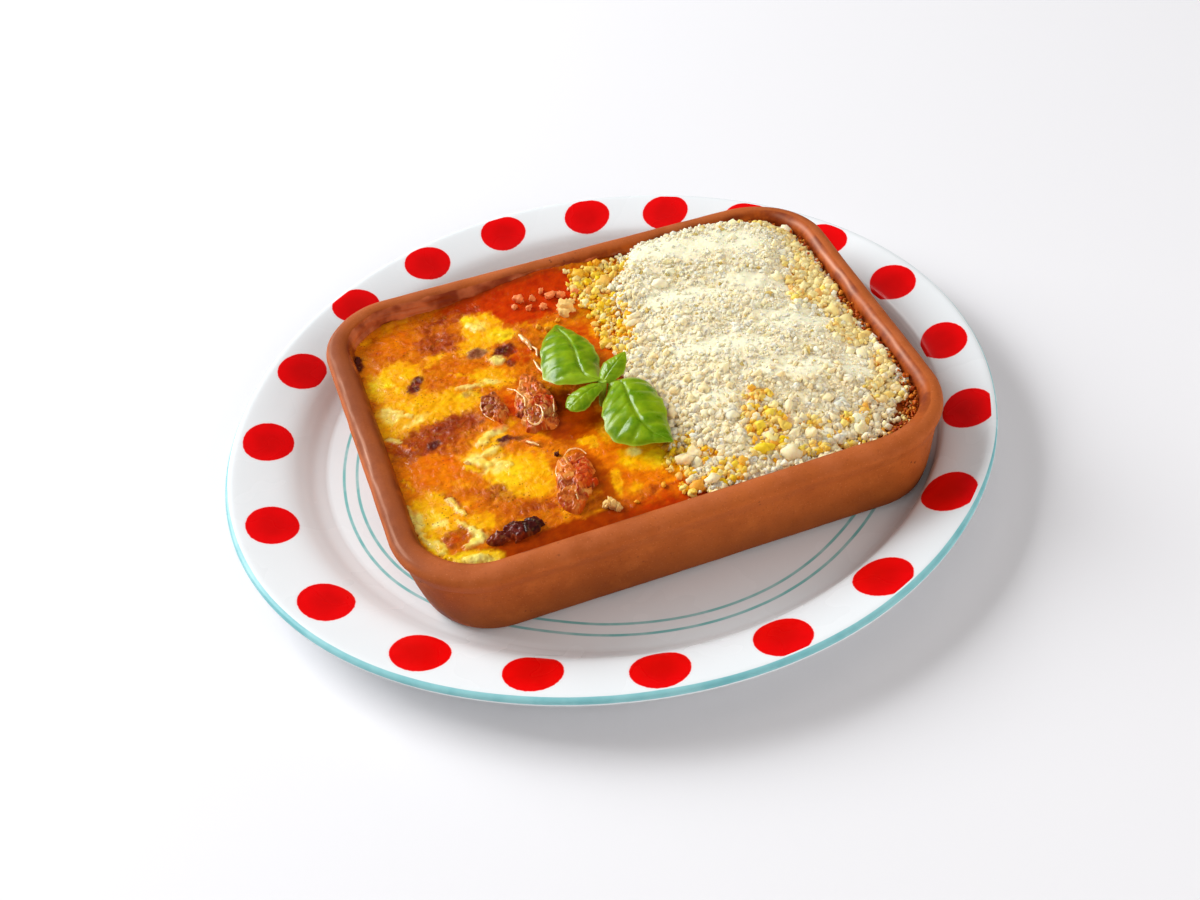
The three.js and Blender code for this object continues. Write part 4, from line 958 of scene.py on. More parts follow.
YELLOW_SPOTS = [  # places where the coarse yellow crumbs lie open: x, y, half sizes
    (43, -53, 7, 6.5), (46, -40, 4.6, 4), (41, -64, 6, 4), (23, 62, 7, 8), (88, -51, 7, 6), (74, -62, 8, 3.6),
    (15, 46, 7, 20), (14, 22, 6.5, 12), (96, 40, 4, 9), (91, 18, 8, 14), (93, 0, 6, 8), (93, -17, 8, 8),
    (24, -68, 7, 4), (12, -66, 5, 5), (15, -48, 4, 6), (92, 60, 5, 8), (84, 8, 6, 5), (58, -71, 16, 2.4),
    (10, 56, 5, 9), (94, -40, 4, 8), (20, -57, 4, 4), (58, -60, 5, 3), (10, -54, 5, 5),
]
RISES = [  # soft bright crests of fine grains: x, y, angle, half length, half width
    (44, 56, -0.30, 26, 8), (70, 50, -0.34, 20, 9), (42, 26, -0.32, 18, 6), (72, 22, -0.40, 18, 6),
    (44, -8, -0.36, 20, 6), (74, -6, -0.36, 18, 6), (66, -32, -0.32, 22, 6), (86, -40, -0.34, 12, 6), (34, -36, -0.34, 10, 5),
]


def fine_share(x, y):
    """1 where the heap is soft and bright, 0 where it is open and coarse."""
    m = np.zeros_like(x)
    wx = x + 3.0 * fbm2(x / 9, y / 9, 3, 631)
    wy = y + 3.0 * fbm2(x / 9, y / 9, 3, 632)
    for cx, cy, ang, hl, hw in RISES:
        u = (wx - cx) * math.cos(ang) + (wy - cy) * math.sin(ang)
        v = -(wx - cx) * math.sin(ang) + (wy - cy) * math.cos(ang)
        m = np.maximum(m, smooth(1.25, 0.45, np.hypot(u / hl, v / hw)))
    return m


def yellow_share(x, y):
    m = np.zeros_like(x)
    wx = x + 3.0 * fbm2(x / 7, y / 7, 2, 601)
    wy = y + 3.0 * fbm2(x / 7, y / 7, 2, 602)
    for cx, cy, hx, hy in YELLOW_SPOTS:
        m = np.maximum(m, smooth(1.35, 0.65, np.sqrt(((wx - cx) / hx) ** 2 + ((wy - cy) / hy) ** 2)))
    return m


WHITE = (lin(255, 244, 206), lin(254, 236, 188), lin(255, 249, 222), lin(255, 236, 202))
GOLD = (lin(255, 212, 80), lin(252, 198, 36), lin(248, 178, 16), lin(255, 226, 124), lin(252, 206, 108), lin(240, 156, 10),
        lin(255, 216, 30), lin(255, 236, 166))


def make_heap_core():
    nr, na = 94, 400
    s = np.linspace(0, 1, nr) ** 0.75
    phi = np.linspace(-np.pi, np.pi, na, endpoint=False)
    R = np.interp(phi, HEAP_PHI, HEAP_RAD, period=2 * np.pi)
    x = HEAP_CENTRE[0] + s[1:, None] * R * np.cos(phi)
    y = HEAP_CENTRE[1] + s[1:, None] * R * np.sin(phi)
    # held inside the dish wall
    d = wall_distance(x, y, wall_inset(29.0) + 0.4)
    pull = np.maximum(0, -d)
    dist = np.hypot(x - HEAP_CENTRE[0], y - HEAP_CENTRE[1])
    x = x - (x - HEAP_CENTRE[0]) / dist * pull * 1.2
    y = y - (y - HEAP_CENTRE[1]) / dist * pull * 1.2
    xf, yf = x.ravel(), y.ravel()
    grain, tag = cells2(xf / 1.25, yf / 1.25, 611)
    lump, _ = cells2(xf / 2.9, yf / 2.9, 612)
    calm = fine_share(xf, yf)
    z = (heap_top(xf, yf) - 0.02 + (1 - 0.7 * calm) * (0.3 * (0.5 - grain) + 0.5 * (0.45 - lump))
         + 0.5 * fbm2(xf / 3.2, yf / 2.4, 3, 616) * (1 - 0.4 * calm)
         + 0.1 * noise2(xf / 0.8, yf / 0.8, 613) + 0.12 * calm)
    share = heap_share(xf, yf)
    sink = smooth(0.93, 1.0, np.maximum(share, 0))
    z = z * (1 - sink) + (food_height(xf, yf) - 0.6) * sink
    verts = np.column_stack([xf, yf, z])
    top = np.array([[HEAP_CENTRE[0], HEAP_CENTRE[1], float(heap_top(np.array([HEAP_CENTRE[0]]), np.array([HEAP_CENTRE[1]]))[0]) - 0.25],
                    [HEAP_CENTRE[0], HEAP_CENTRE[1], 27.0]])
    c0 = len(verts)
    verts = np.vstack([verts, top])
    rings = nr - 1
    faces = [ring_faces(rings, na), fan(c0, 0, na, False), fan(c0 + 1, (rings - 1) * na, na, True)]
    faces[0] = faces[0][:, ::-1]
    yl = yellow_share(xf, yf)
    tone = (0.5 + 0.5 * fbm2(xf / 5, yf / 5, 3, 614))[:, None]
    rgb = np.array(lin(250, 230, 184)) * (1 - tone) + np.array(lin(255, 243, 210)) * tone
    # whiter on the soft crests: fine white cheese there, and partly a painted highlight on the tops
    rgb = rgb * (1 - calm[:, None]) + np.array(lin(255, 246, 212)) * calm[:, None]
    clumps = smooth(0.08, 0.42, fbm2(xf / 5.5, yf / 4.5, 3, 617))
    # painted shade: olive-grey darkening between the grains, weak on the soft crests
    grain_gap_shade = smooth(0.5, 0.75, grain) * (1 - 0.9 * calm) * (0.12 + 0.88 * clumps)
    rgb = rgb * (1 - grain_gap_shade[:, None] * 0.75) + np.array(lin(178, 152, 76)) * grain_gap_shade[:, None] * 0.75
    gold = np.array(lin(232, 148, 12)) * (1 - tone) + np.array(lin(246, 190, 60)) * tone
    rgb = rgb * (1 - yl[:, None]) + gold * yl[:, None]
    # painted shade: darker amber in the hollows between the golden lumps
    deep = (yl * smooth(0.35, 0.6, lump))[:, None]
    rgb = rgb * (1 - 0.7 * deep) + np.array(lin(196, 104, 8)) * 0.7 * deep
    mat = cheese_material("grated_core", True, sss=0.6)
    ob = new_mesh("grated_cheese_core", verts, faces, "grated_cheese", mat)
    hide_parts("grated_cheese")
    put_color(ob, "paint", np.vstack([rgb, [lin(240, 226, 186)] * 2]))
    put_float(ob, "calm", np.concatenate([np.maximum(calm, 0.85 * (1 - clumps)), [1, 0]]))
    return ob


def cheese_material(name, grainy=False, rough=(0.62, 0.8), sss=0.55):
    w = Net(name)
    col = w.attr("paint", "Color")
    fine = w.noise(2200, 3, 0.6)
    mid = w.noise(800, 3, 0.55)
    col = w.mix(w.math("MULTIPLY", w.ramp(mid, 0.5, 0.75), 0.3), col, w.mix(1.0, col, lin(244, 226, 180), "MULTIPLY"))
    if grainy:
        # grains too small to lie loose, with painted shade in thin dark lines between them in places
        crumb = w.cells(1150)
        open_part = w.ramp(w.attr("calm"), 0.0, 1.0, 1.0, 0.12)
        gap_shade = w.math("MULTIPLY", w.ramp(crumb, 0.42, 0.72), open_part)
        col = w.mix(w.math("MULTIPLY", gap_shade, 0.45), col, w.mix(1.0, col, lin(178, 158, 96), "MULTIPLY"))
        bump = w.bump(crumb, w.math("MULTIPLY", open_part, 0.75), -0.42, w.bump(mid, 0.5, 0.35))
    else:
        bump = w.bump(fine, 0.4, 0.12, w.bump(mid, 0.5, 0.25))
    return w.surface(Base_Color=col, Roughness=w.ramp(mid, 0.3, 0.7, *rough), IOR=1.44, Specular_IOR_Level=0.2,
                     Subsurface_Weight=sss, Subsurface_Radius=(1.0, 0.8, 0.5), Subsurface_Scale=0.002, Normal=bump)


def icosahedron():
    g = (1 + 5 ** 0.5) / 2
    v = np.array([(-1, g, 0), (1, g, 0), (-1, -g, 0), (1, -g, 0), (0, -1, g), (0, 1, g), (0, -1, -g), (0, 1, -g),
                  (g, 0, -1), (g, 0, 1), (-g, 0, -1), (-g, 0, 1)], float)
    f = np.array([(0, 11, 5), (0, 5, 1), (0, 1, 7), (0, 7, 10), (0, 10, 11), (1, 5, 9), (5, 11, 4), (11, 10, 2),
                  (10, 7, 6), (7, 1, 8), (3, 9, 4), (3, 4, 2), (3, 2, 6), (3, 6, 8), (3, 8, 9), (4, 9, 5),
                  (2, 4, 11), (6, 2, 10), (8, 6, 7), (9, 8, 1)])
    return v / np.linalg.norm(v[0]), f


def finer(v, f):
    v = list(map(tuple, v))
    seen = {}

    def mid(a, b):
        k = (min(a, b), max(a, b))
        if k not in seen:
            m = (np.array(v[a]) + np.array(v[b])) / 2
            v.append(tuple(m / np.linalg.norm(m)))
            seen[k] = len(v) - 1
        return seen[k]

    out = []
    for a, b, c in f:
        ab, bc, ca = mid(a, b), mid(b, c), mid(c, a)
        out += [(a, ab, ca), (ab, b, bc), (ca, bc, c), (ab, bc, ca)]
    return np.array(v), np.array(out)


LUMP = {0: icosahedron()}
LUMP[1] = finer(*LUMP[0])
LUMP[2] = finer(*LUMP[1])


def scatter(name, centres, radii, colours, level, slot, material, rough=0.22, seed=1, flat=False):
    """One joined mesh of crumbs; each is turned, stretched and dented differently."""
    g = np.random.default_rng(seed)
    v, f = LUMP[level]
    n = len(centres)
    q = g.normal(size=(n, 4))
    q /= np.linalg.norm(q, axis=1)[:, None]
    a, b, c, d = q.T
    rot = np.stack([a * a + b * b - c * c - d * d, 2 * (b * c - a * d), 2 * (b * d + a * c),
                    2 * (b * c + a * d), a * a - b * b + c * c - d * d, 2 * (c * d - a * b),
                    2 * (b * d - a * c), 2 * (c * d + a * b), a * a - b * b - c * c + d * d], 1).reshape(n, 3, 3)
    stretch = g.uniform(0.62, 1.3, (n, 1, 3))
    off = g.uniform(0, 50, (n, 1, 3))
    p = v[None] * 1.6 + off
    dent = 1 + rough * noise3(p[..., 0], p[..., 1], p[..., 2], seed) + rough * 0.6 * g.uniform(-1, 1, (n, len(v)))
    local = v[None] * dent[..., None] * stretch * np.asarray(radii)[:, None, None]
    pts = np.einsum("nij,nvj->nvi", rot, local) + np.asarray(centres)[:, None, :]
    faces = (f[None] + (np.arange(n) * len(v))[:, None, None]).reshape(-1, 3)
    ob = new_mesh(name, pts.reshape(-1, 3), faces, slot, material, not flat)
    col = np.repeat(np.asarray(colours), len(v), axis=0)
    shade = 1 + 0.06 * g.uniform(-1, 1, len(col))
    put_color(ob, "paint", col * shade[:, None])
    return ob


def pick(palette, n, g, spread=0.5):
    p = np.array(palette)
    i = g.integers(0, len(p), n)
    j = g.integers(0, len(p), n)
    t = g.uniform(0, spread, n)[:, None]
    return p[i] * (1 - t) + p[j] * t


def make_heap_grains():
    g = np.random.default_rng(77)
    mat = cheese_material("grated_grains")
    gold_mat = cheese_material("golden_crumbs", rough=(0.3, 0.5), sss=0.25)

    def candidates(n):
        x = g.uniform(4, 101, n)
        y = g.uniform(-78, 74, n)
        return x, y

    # fine white grains over the heap
    x, y = candidates(26000)
    s = heap_share(x, y)
    inside = wall_distance(x, y, wall_inset(31.0)) > 0.6
    yl = yellow_share(x, y)
    calm = fine_share(x, y)
    edge = smooth(1.0, 0.93, s + 0.05 * fbm2(x / 4, y / 4, 2, 701))
    keep = inside & (g.uniform(size=len(x)) < edge * (1 - 0.9 * yl) * (1 - 0.62 * calm))
    x, y, calm = x[keep][:7400], y[keep][:7400], calm[keep][:7400]
    r = np.exp(g.normal(math.log(0.58), 0.4, len(x))) * (1 - 0.3 * calm)
    z = heap_top(x, y) + g.uniform(-0.55, 0.12, len(x)) + 0.5 * fbm2(x / 3.2, y / 2.4, 3, 616) + 0.1 * calm
    cols = pick(WHITE, len(x), g)
    # whiter on the soft crests: fine white cheese there, and partly a painted highlight on the tops
    cols = cols * (1 - 0.5 * calm[:, None]) + np.array(lin(255, 249, 218)) * 0.5 * calm[:, None]
    # a pale gold tint in the open places
    tint = smooth(-0.1, 0.4, fbm2(x / 7, y / 7, 3, 615))[:, None] * (1 - calm[:, None])
    cols = cols * (1 - tint * np.array([0.01, 0.03, 0.12]))
    peach = (0.6 * smooth(-10, -36, y) * g.uniform(0, 1, len(x)))[:, None]
    cols = cols * (1 - peach) + np.array(lin(254, 220, 166)) * peach
    # painted shade: a few olive-brown grains in the open places, for the shade between grains
    dark = (g.uniform(size=len(x)) < 0.06 * (1 - calm) + 0.003)[:, None]
    cols = np.where(dark, np.array(lin(206, 178, 104)), cols)
    scatter("grated_cheese_fine", np.column_stack([x, y, z]), r, cols, 0, "grated_cheese", mat, 0.5, 11, True)
    # larger white crumbs, more of them near the heap's edge and in the open places
    x, y = candidates(12000)
    s = heap_share(x, y)
    inside = wall_distance(x, y, wall_inset(31.0)) > 0.9
    yl = yellow_share(x, y)
    calm = fine_share(x, y)
    clump = smooth(-0.1, 0.3, fbm2(x / 5, y / 5, 3, 703))
    left = smooth(44, 18, x + 0.25 * (y + 10))
    low = smooth(-18, -44, y)
    side = np.where(y > 52, 1.1 * smooth(0.96, 1.0, s), smooth(0.7, 0.97, s))
    chance = (smooth(1.14, 0.98, s) * (0.04 + 0.6 * side + 0.5 * clump * (0.3 + 0.9 * left + 1.1 * low)) * (1 - 0.75 * yl)
              * (1 - 0.75 * calm))
    keep = inside & (g.uniform(size=len(x)) < chance)
    x, y, left, low = x[keep][:2300], y[keep][:2300], left[keep][:2300], low[keep][:2300]
    r = np.exp(g.normal(math.log(0.84), 0.34, len(x))) * (1 + 0.22 * np.clip(left + low, 0, 1))
    z = np.maximum(heap_top(x, y), food_height(x, y) + 0.6) + r * g.uniform(-0.5, 0.35, len(x))
    cols = pick(WHITE, len(x), g)
    warm = (0.9 * np.clip(0.25 + left + low, 0, 1) * g.uniform(0, 1, len(x)) ** 0.9)[:, None]
    cols = cols * (1 - warm) + np.array(lin(254, 220, 164)) * warm
    scatter("grated_cheese_coarse", np.column_stack([x, y, z]), r, cols, 1, "grated_cheese", mat, 0.44, 12)
    # golden crumbs where the white cheese is thin or missing
    x, y = candidates(15000)
    s = heap_share(x, y)
    inside = wall_distance(x, y, wall_inset(29.5)) > 1.2
    yl = yellow_share(x, y)
    wall = wall_distance(x, y, wall_inset(29.5))
    by_wall = smooth(10, 5, wall) * smooth(74, 84, x) * smooth(4, 22, y) * smooth(66, 52, y)
    loose = smooth(1.3, 1.0, s) * smooth(0.9, 1.0, s) * smooth(-30, -50, y)
    thin = smooth(-0.25, 0.25, fbm2(x / 5, y / 5, 3, 705) + 0.35 * smooth(6, 18, x))
    chance = np.clip(yl * 0.85 * (0.35 + 0.65 * thin) + 0.1 * loose + 0.6 * by_wall, 0, 1)
    keep = inside & (g.uniform(size=len(x)) < chance)
    x, y = x[keep][:2150], y[keep][:2150]
    r = np.exp(g.normal(math.log(0.92), 0.34, len(x)))
    over = heap_share(x, y) < 0.97
    stacked = 2.2 * smooth(80, 90, x) * smooth(0, 20, y) * g.uniform(0, 1, len(x)) ** 1.5
    z = np.where(over, heap_top(x, y) + 0.25, food_height(x, y) + 0.5 + stacked) + g.uniform(-0.2, 0.5, len(x))
    cols = pick(GOLD, len(x), g)
    pale = smooth(24, 60, x)[:, None] * 0.3 * g.uniform(0, 1, (len(x), 1))
    pale = np.maximum(pale, smooth(76, 88, x)[:, None] * 0.85 * g.uniform(0.2, 1, (len(x), 1)) ** 0.8)
    cols = cols * (1 - pale) + np.array(lin(255, 240, 184)) * pale
    scatter("golden_crumbs", np.column_stack([x, y, z]), r, cols, 1, "grated_cheese", gold_mat, 0.44, 13)
    # small browned crumbs baked on along the right wall
    x, y = candidates(30000)
    wall = wall_distance(x, y, wall_inset(29.5))
    keep = ((wall > 0.2) & (wall < 5.5) & (g.uniform(size=len(x)) < 0.85 * smooth(66, 84, x))
            & (heap_share(x, y) > 0.9))
    x, y, wall = x[keep][:1500], y[keep][:1500], wall[keep][:1500]
    r = np.exp(g.normal(math.log(0.52), 0.34, len(x)))
    z = food_height(x, y) + 0.2 + 3.6 * smooth(5.0, 0.6, wall) * g.uniform(0, 1, len(x))
    browned = (lin(196, 92, 18), lin(166, 64, 12), lin(216, 122, 30), lin(138, 48, 14), lin(230, 156, 60), lin(180, 78, 14))
    scatter("browned_crumbs", np.column_stack([x, y, z]), r, pick(browned, len(x), g), 0, "baked_cheese", gold_mat, 0.46, 14)
    return gold_mat


# ------------------------------------------------------------------ basil
LEAVES = [  # base, tip, half width, rise of the midrib, drop of the edges, lean, midrib place, seed, outline
    ((-2.0, -9.4, 35.6), (-6.8, 32.3, 34.0), 11.0, 3.0, 3.6, 0.04, 0.26, 1,
     [(0, 0, 0.9), (0.06, -3.0, 4.4), (0.12, -4.7, 7.0), (0.2, -5.8, 9.2), (0.31, -5.9, 10.6), (0.42, -5.2, 11.05),
      (0.56, -3.9, 10.4), (0.7, -2.75, 8.9), (0.85, -1.8, 6.6), (0.93, -1.1, 4.4), (1, -0.2, 1.2)]),
    ((-0.5, -12.0, 35.6), (10.5, -49.5, 34.2), 12.0, 3.0, 3.6, 0.0, 0.0, 2,
     [(0, -1.5, 1.6), (0.05, -4.2, 6.0), (0.12, -3.6, 8.4), (0.21, -2.4, 10.3), (0.37, 0.2, 11.9), (0.53, 2.4, 12.0),
      (0.69, 3.4, 10.1), (0.85, 2.6, 6.2), (1, 0, 0.7)]),
    ((-1.4, -10.0, 36.0), (9.6, -3.2, 40.4), 4.4, 1.0, 1.4, 0.1, 0.05, 3, None),
    ((-2.6, -11.4, 35.6), (-17.2, -16.8, 33.6), 5.0, 1.6, 1.6, 0.0, -0.1, 4,
     [(0, 0, 1.2), (0.2, 0.2, 3.4), (0.45, 0.4, 4.7), (0.7, 0.2, 4.9), (0.88, 0, 3.9), (1, 0, 1.6)]),
]
STALK = [(-3.6, -12.8, 26.5, 1.2), (-3.2, -12.4, 31.0, 1.25), (-2.4, -11.6, 34.2, 1.5), (-2.0, -11.0, 36.6, 1.5)]


def turned(v, axis, angle):
    return v * math.cos(angle) + np.cross(axis, v) * math.sin(angle) + axis * np.dot(axis, v) * (1 - math.cos(angle))


def leaf_mesh(base, tip, half, arch, cup, lean, rib, seed, outline):
    b = np.array(base)
    axis = np.array(tip) - b
    length = np.linalg.norm(axis)
    along = axis / length
    across = np.cross([0, 0, 1.0], along)
    across /= np.linalg.norm(across)
    up = turned(np.cross(along, across), along, lean)
    side = np.cross(along, up)             # to the right of the direction base to tip... sign fixed below
    side = -np.cross(up, along)
    nt, nv = 76, 50
    t = np.linspace(0, 1, nt)[:, None]
    v = np.linspace(-1, 1, nv)[None, :]
    g = np.random.default_rng(seed)
    if outline:
        o = curve_through(outline, 8)
        w = np.interp(t, o[:, 0], o[:, 2])
        shift = np.interp(t, o[:, 0], o[:, 1])
    else:
        w = half * np.maximum(0.05, np.sin(np.pi * np.minimum(1, 0.06 + 0.94 * t) ** 0.82) ** 0.72)
        shift = 0 * t
    w = w * (1 + 0.022 * np.sin(t * 38 + seed) * (np.abs(v) > 0.5) + 0.02 * np.sin(t * 17 + 2 * seed))
    # midrib runs a little off the middle, straight at both ends
    ribline = rib * np.sin(np.pi * t) ** 0.8
    vv = v - ribline
    q = np.where(vv < 0, vv / (1 + ribline), vv / (1 - ribline))     # -1..0..1 from edge over rib to edge
    rise = arch * np.sin(np.pi * t ** 0.9)
    h = rise - cup * (w / half) * v * v
    # side veins curve towards the tip; the blade swells between them
    nv_pairs = 6.2 if half > 8 else 4.2
    phase = t * nv_pairs * 1.12 - 0.62 * np.abs(q) ** 0.9 + (0.16 * (q > 0))
    cell = phase - np.floor(phase)
    vein = np.minimum(cell, 1 - cell) * 2
    fade = smooth(0.0, 0.12, t) * smooth(1.0, 0.9, t)
    scale = half / 12
    swell = (1 - (1 - vein) ** 2.6) * smooth(0.0, 0.22, np.abs(q)) * smooth(1.0, 0.72, np.abs(q)) * fade
    h = h + 0.5 * scale * (swell - 0.4)
    h = h - 0.75 * scale * np.exp(-(q / 0.05) ** 2) * smooth(1.0, 0.8, t)
    # uneven blade, edges curl down and up again in waves
    across_mm = shift + v * w
    X = b[0] + along[0] * t * length + side[0] * across_mm
    Y = b[1] + along[1] * t * length + side[1] * across_mm
    h = h + 0.55 * scale * fbm2(X / (7 * scale), Y / (7 * scale), 2, 90 + seed)
    h = h + 0.9 * scale * np.abs(v) ** 4 * np.sin(t * 9 + 1.3 * seed + 2.0 * (v > 0))
    thick = 0.62 * np.sqrt(np.clip(1 - v ** 6, 0, 1)) + 0.16 * np.exp(-(q / 0.06) ** 2)
    top = h + thick / 2
    low = h - thick / 2 - 0.5 * scale * np.exp(-(q / 0.05) ** 2) * smooth(1.0, 0.7, t)

    def place(hh):
        return (b + along * (t * length)[..., None] + side * across_mm[..., None] + up * hh[..., None])

    T, L = place(top), place(low)
    n = nt * nv
    grid = np.arange(n).reshape(nt, nv)
    quads = np.stack([grid[:-1, :-1], grid[:-1, 1:], grid[1:, 1:], grid[1:, :-1]], -1).reshape(-1, 4)
    border = np.concatenate([grid[0, :-1], grid[:-1, -1], grid[-1, :0:-1], grid[:0:-1, 0]])
    nxt = np.roll(border, -1)
    # face direction by the grid's own handedness
    e1, e2 = T[nt // 2, nv // 2 + 1] - T[nt // 2, nv // 2], T[nt // 2 + 1, nv // 2] - T[nt // 2, nv // 2]
    flip = np.dot(np.cross(e1, e2), up) < 0
    side_q = np.stack([border, border + n, nxt + n, nxt], 1)
    faces = np.vstack([quads, (quads + n)[:, ::-1], side_q])
    if flip:
        faces = faces[:, ::-1]
    verts = np.vstack([T.reshape(-1, 3), L.reshape(-1, 3)])
    veins = np.clip(1 - vein / 0.16, 0, 1) * smooth(0.95, 0.75, np.abs(q)) * fade * 0.8
    veins = np.maximum(veins, np.exp(-(q / 0.035) ** 2))
    # mask for the painted highlight along the leaf's edge
    edge = np.broadcast_to(smooth(0.9, 1.0, np.abs(v)), vein.shape)
    depth = np.broadcast_to(t, vein.shape)
    attrs = np.stack([np.broadcast_to(veins, vein.shape).ravel(), edge.ravel(), depth.ravel()], 1)
    return verts, faces, np.vstack([attrs, attrs]), np.concatenate([np.zeros(n), np.ones(n)])


def tube(points, radii, n=10, per_span=5):
    p = curve_through(points, per_span)
    r = np.interp(np.linspace(0, 1, len(p)), np.linspace(0, 1, len(radii)), radii)
    tan = np.gradient(p, axis=0)
    tan /= np.linalg.norm(tan, axis=1)[:, None]
    ref = np.array([0.13, 0.21, 0.97])
    u = np.cross(tan, ref)
    u /= np.linalg.norm(u, axis=1)[:, None]
    v = np.cross(tan, u)
    a = np.linspace(0, 2 * np.pi, n, endpoint=False)
    rings = p[:, None] + r[:, None, None] * (np.cos(a)[None, :, None] * u[:, None] + np.sin(a)[None, :, None] * v[:, None])
    verts = np.vstack([rings.reshape(-1, 3), p[:1], p[-1:]])
    c0 = len(p) * n
    quads = ring_faces(len(p), n)
    f1, f2 = fan(c0, 0, n, False), fan(c0 + 1, (len(p) - 1) * n, n, True)
    return verts, np.vstack([quads[:, ::-1], np.column_stack([f1[:, ::-1], f1[:, 0]])[:, [0, 1, 2, 2]],
                             np.column_stack([f2[:, ::-1], f2[:, 0]])[:, [0, 1, 2, 2]]])


def make_basil():
    verts, faces, attrs, under = [], [], [], []
    base = 0
    for spec in LEAVES:
        v, f, a, u = leaf_mesh(*spec)
        verts.append(v)
        faces.append(f + base)
        attrs.append(a)
        under.append(u)
        base += len(v)
    v = np.array(STALK)
    tv, tf = tube(v[:, :3], v[:, 3], 14, 6)
    quads = tf[tf[:, 2] != tf[:, 3]]
    tris = tf[tf[:, 2] == tf[:, 3]][:, :3]
    verts.append(tv)
    attrs.append(np.tile([0.5, 0.0, 0.0], (len(tv), 1)))
    under.append(np.full(len(tv), 0.5))
    w = Net("basil_green")
    vein, edge, depth, below = w.attr("vein"), w.attr("edge"), w.attr("depth"), w.attr("under")
    patchy = w.noise(150, 3, 0.55)
    fine = w.noise(1300, 3, 0.6)
    col = w.mix(w.ramp(patchy, 0.3, 0.7), lin(90, 134, 0), lin(140, 172, 6))
    col = w.mix(w.math("MULTIPLY", w.ramp(fine, 0.45, 0.75), 0.25), col, lin(84, 124, 0))
    col = w.mix(w.ramp(depth, 0.25, 0.0, 0.0, 0.5), col, lin(160, 190, 40))
    col = w.mix(w.math("MULTIPLY", vein, 0.28), col, lin(160, 192, 56))
    # painted highlight: lighter yellow-green along the leaf edges, as from light behind them
    col = w.mix(w.math("MULTIPLY", edge, 0.5), col, lin(188, 204, 60))
    col = w.mix(w.math("MULTIPLY", below, 0.6), col, lin(146, 176, 70))
    bump = w.bump(fine, 0.25, 0.15, w.bump(w.noise(420, 3), 0.3, 0.3))
    mat = w.surface(Base_Color=col, Roughness=w.ramp(patchy, 0.3, 0.7, 0.26, 0.36), IOR=1.45,
                    Specular_IOR_Level=0.3, Coat_Weight=0.2, Coat_Roughness=0.14,
                    Subsurface_Weight=0.1, Subsurface_Radius=(0.5, 1.0, 0.15), Subsurface_Scale=0.0008, Normal=bump)
    ob = new_mesh("basil_leaves", np.vstack(verts), [*faces, quads + base, tris + base], "basil_leaf", mat)
    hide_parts("basil_sprig")
    a = np.vstack(attrs)
    put_float(ob, "vein", a[:, 0])
    put_float(ob, "edge", a[:, 1])
    put_float(ob, "depth", a[:, 2])
    put_float(ob, "under", np.concatenate(under))


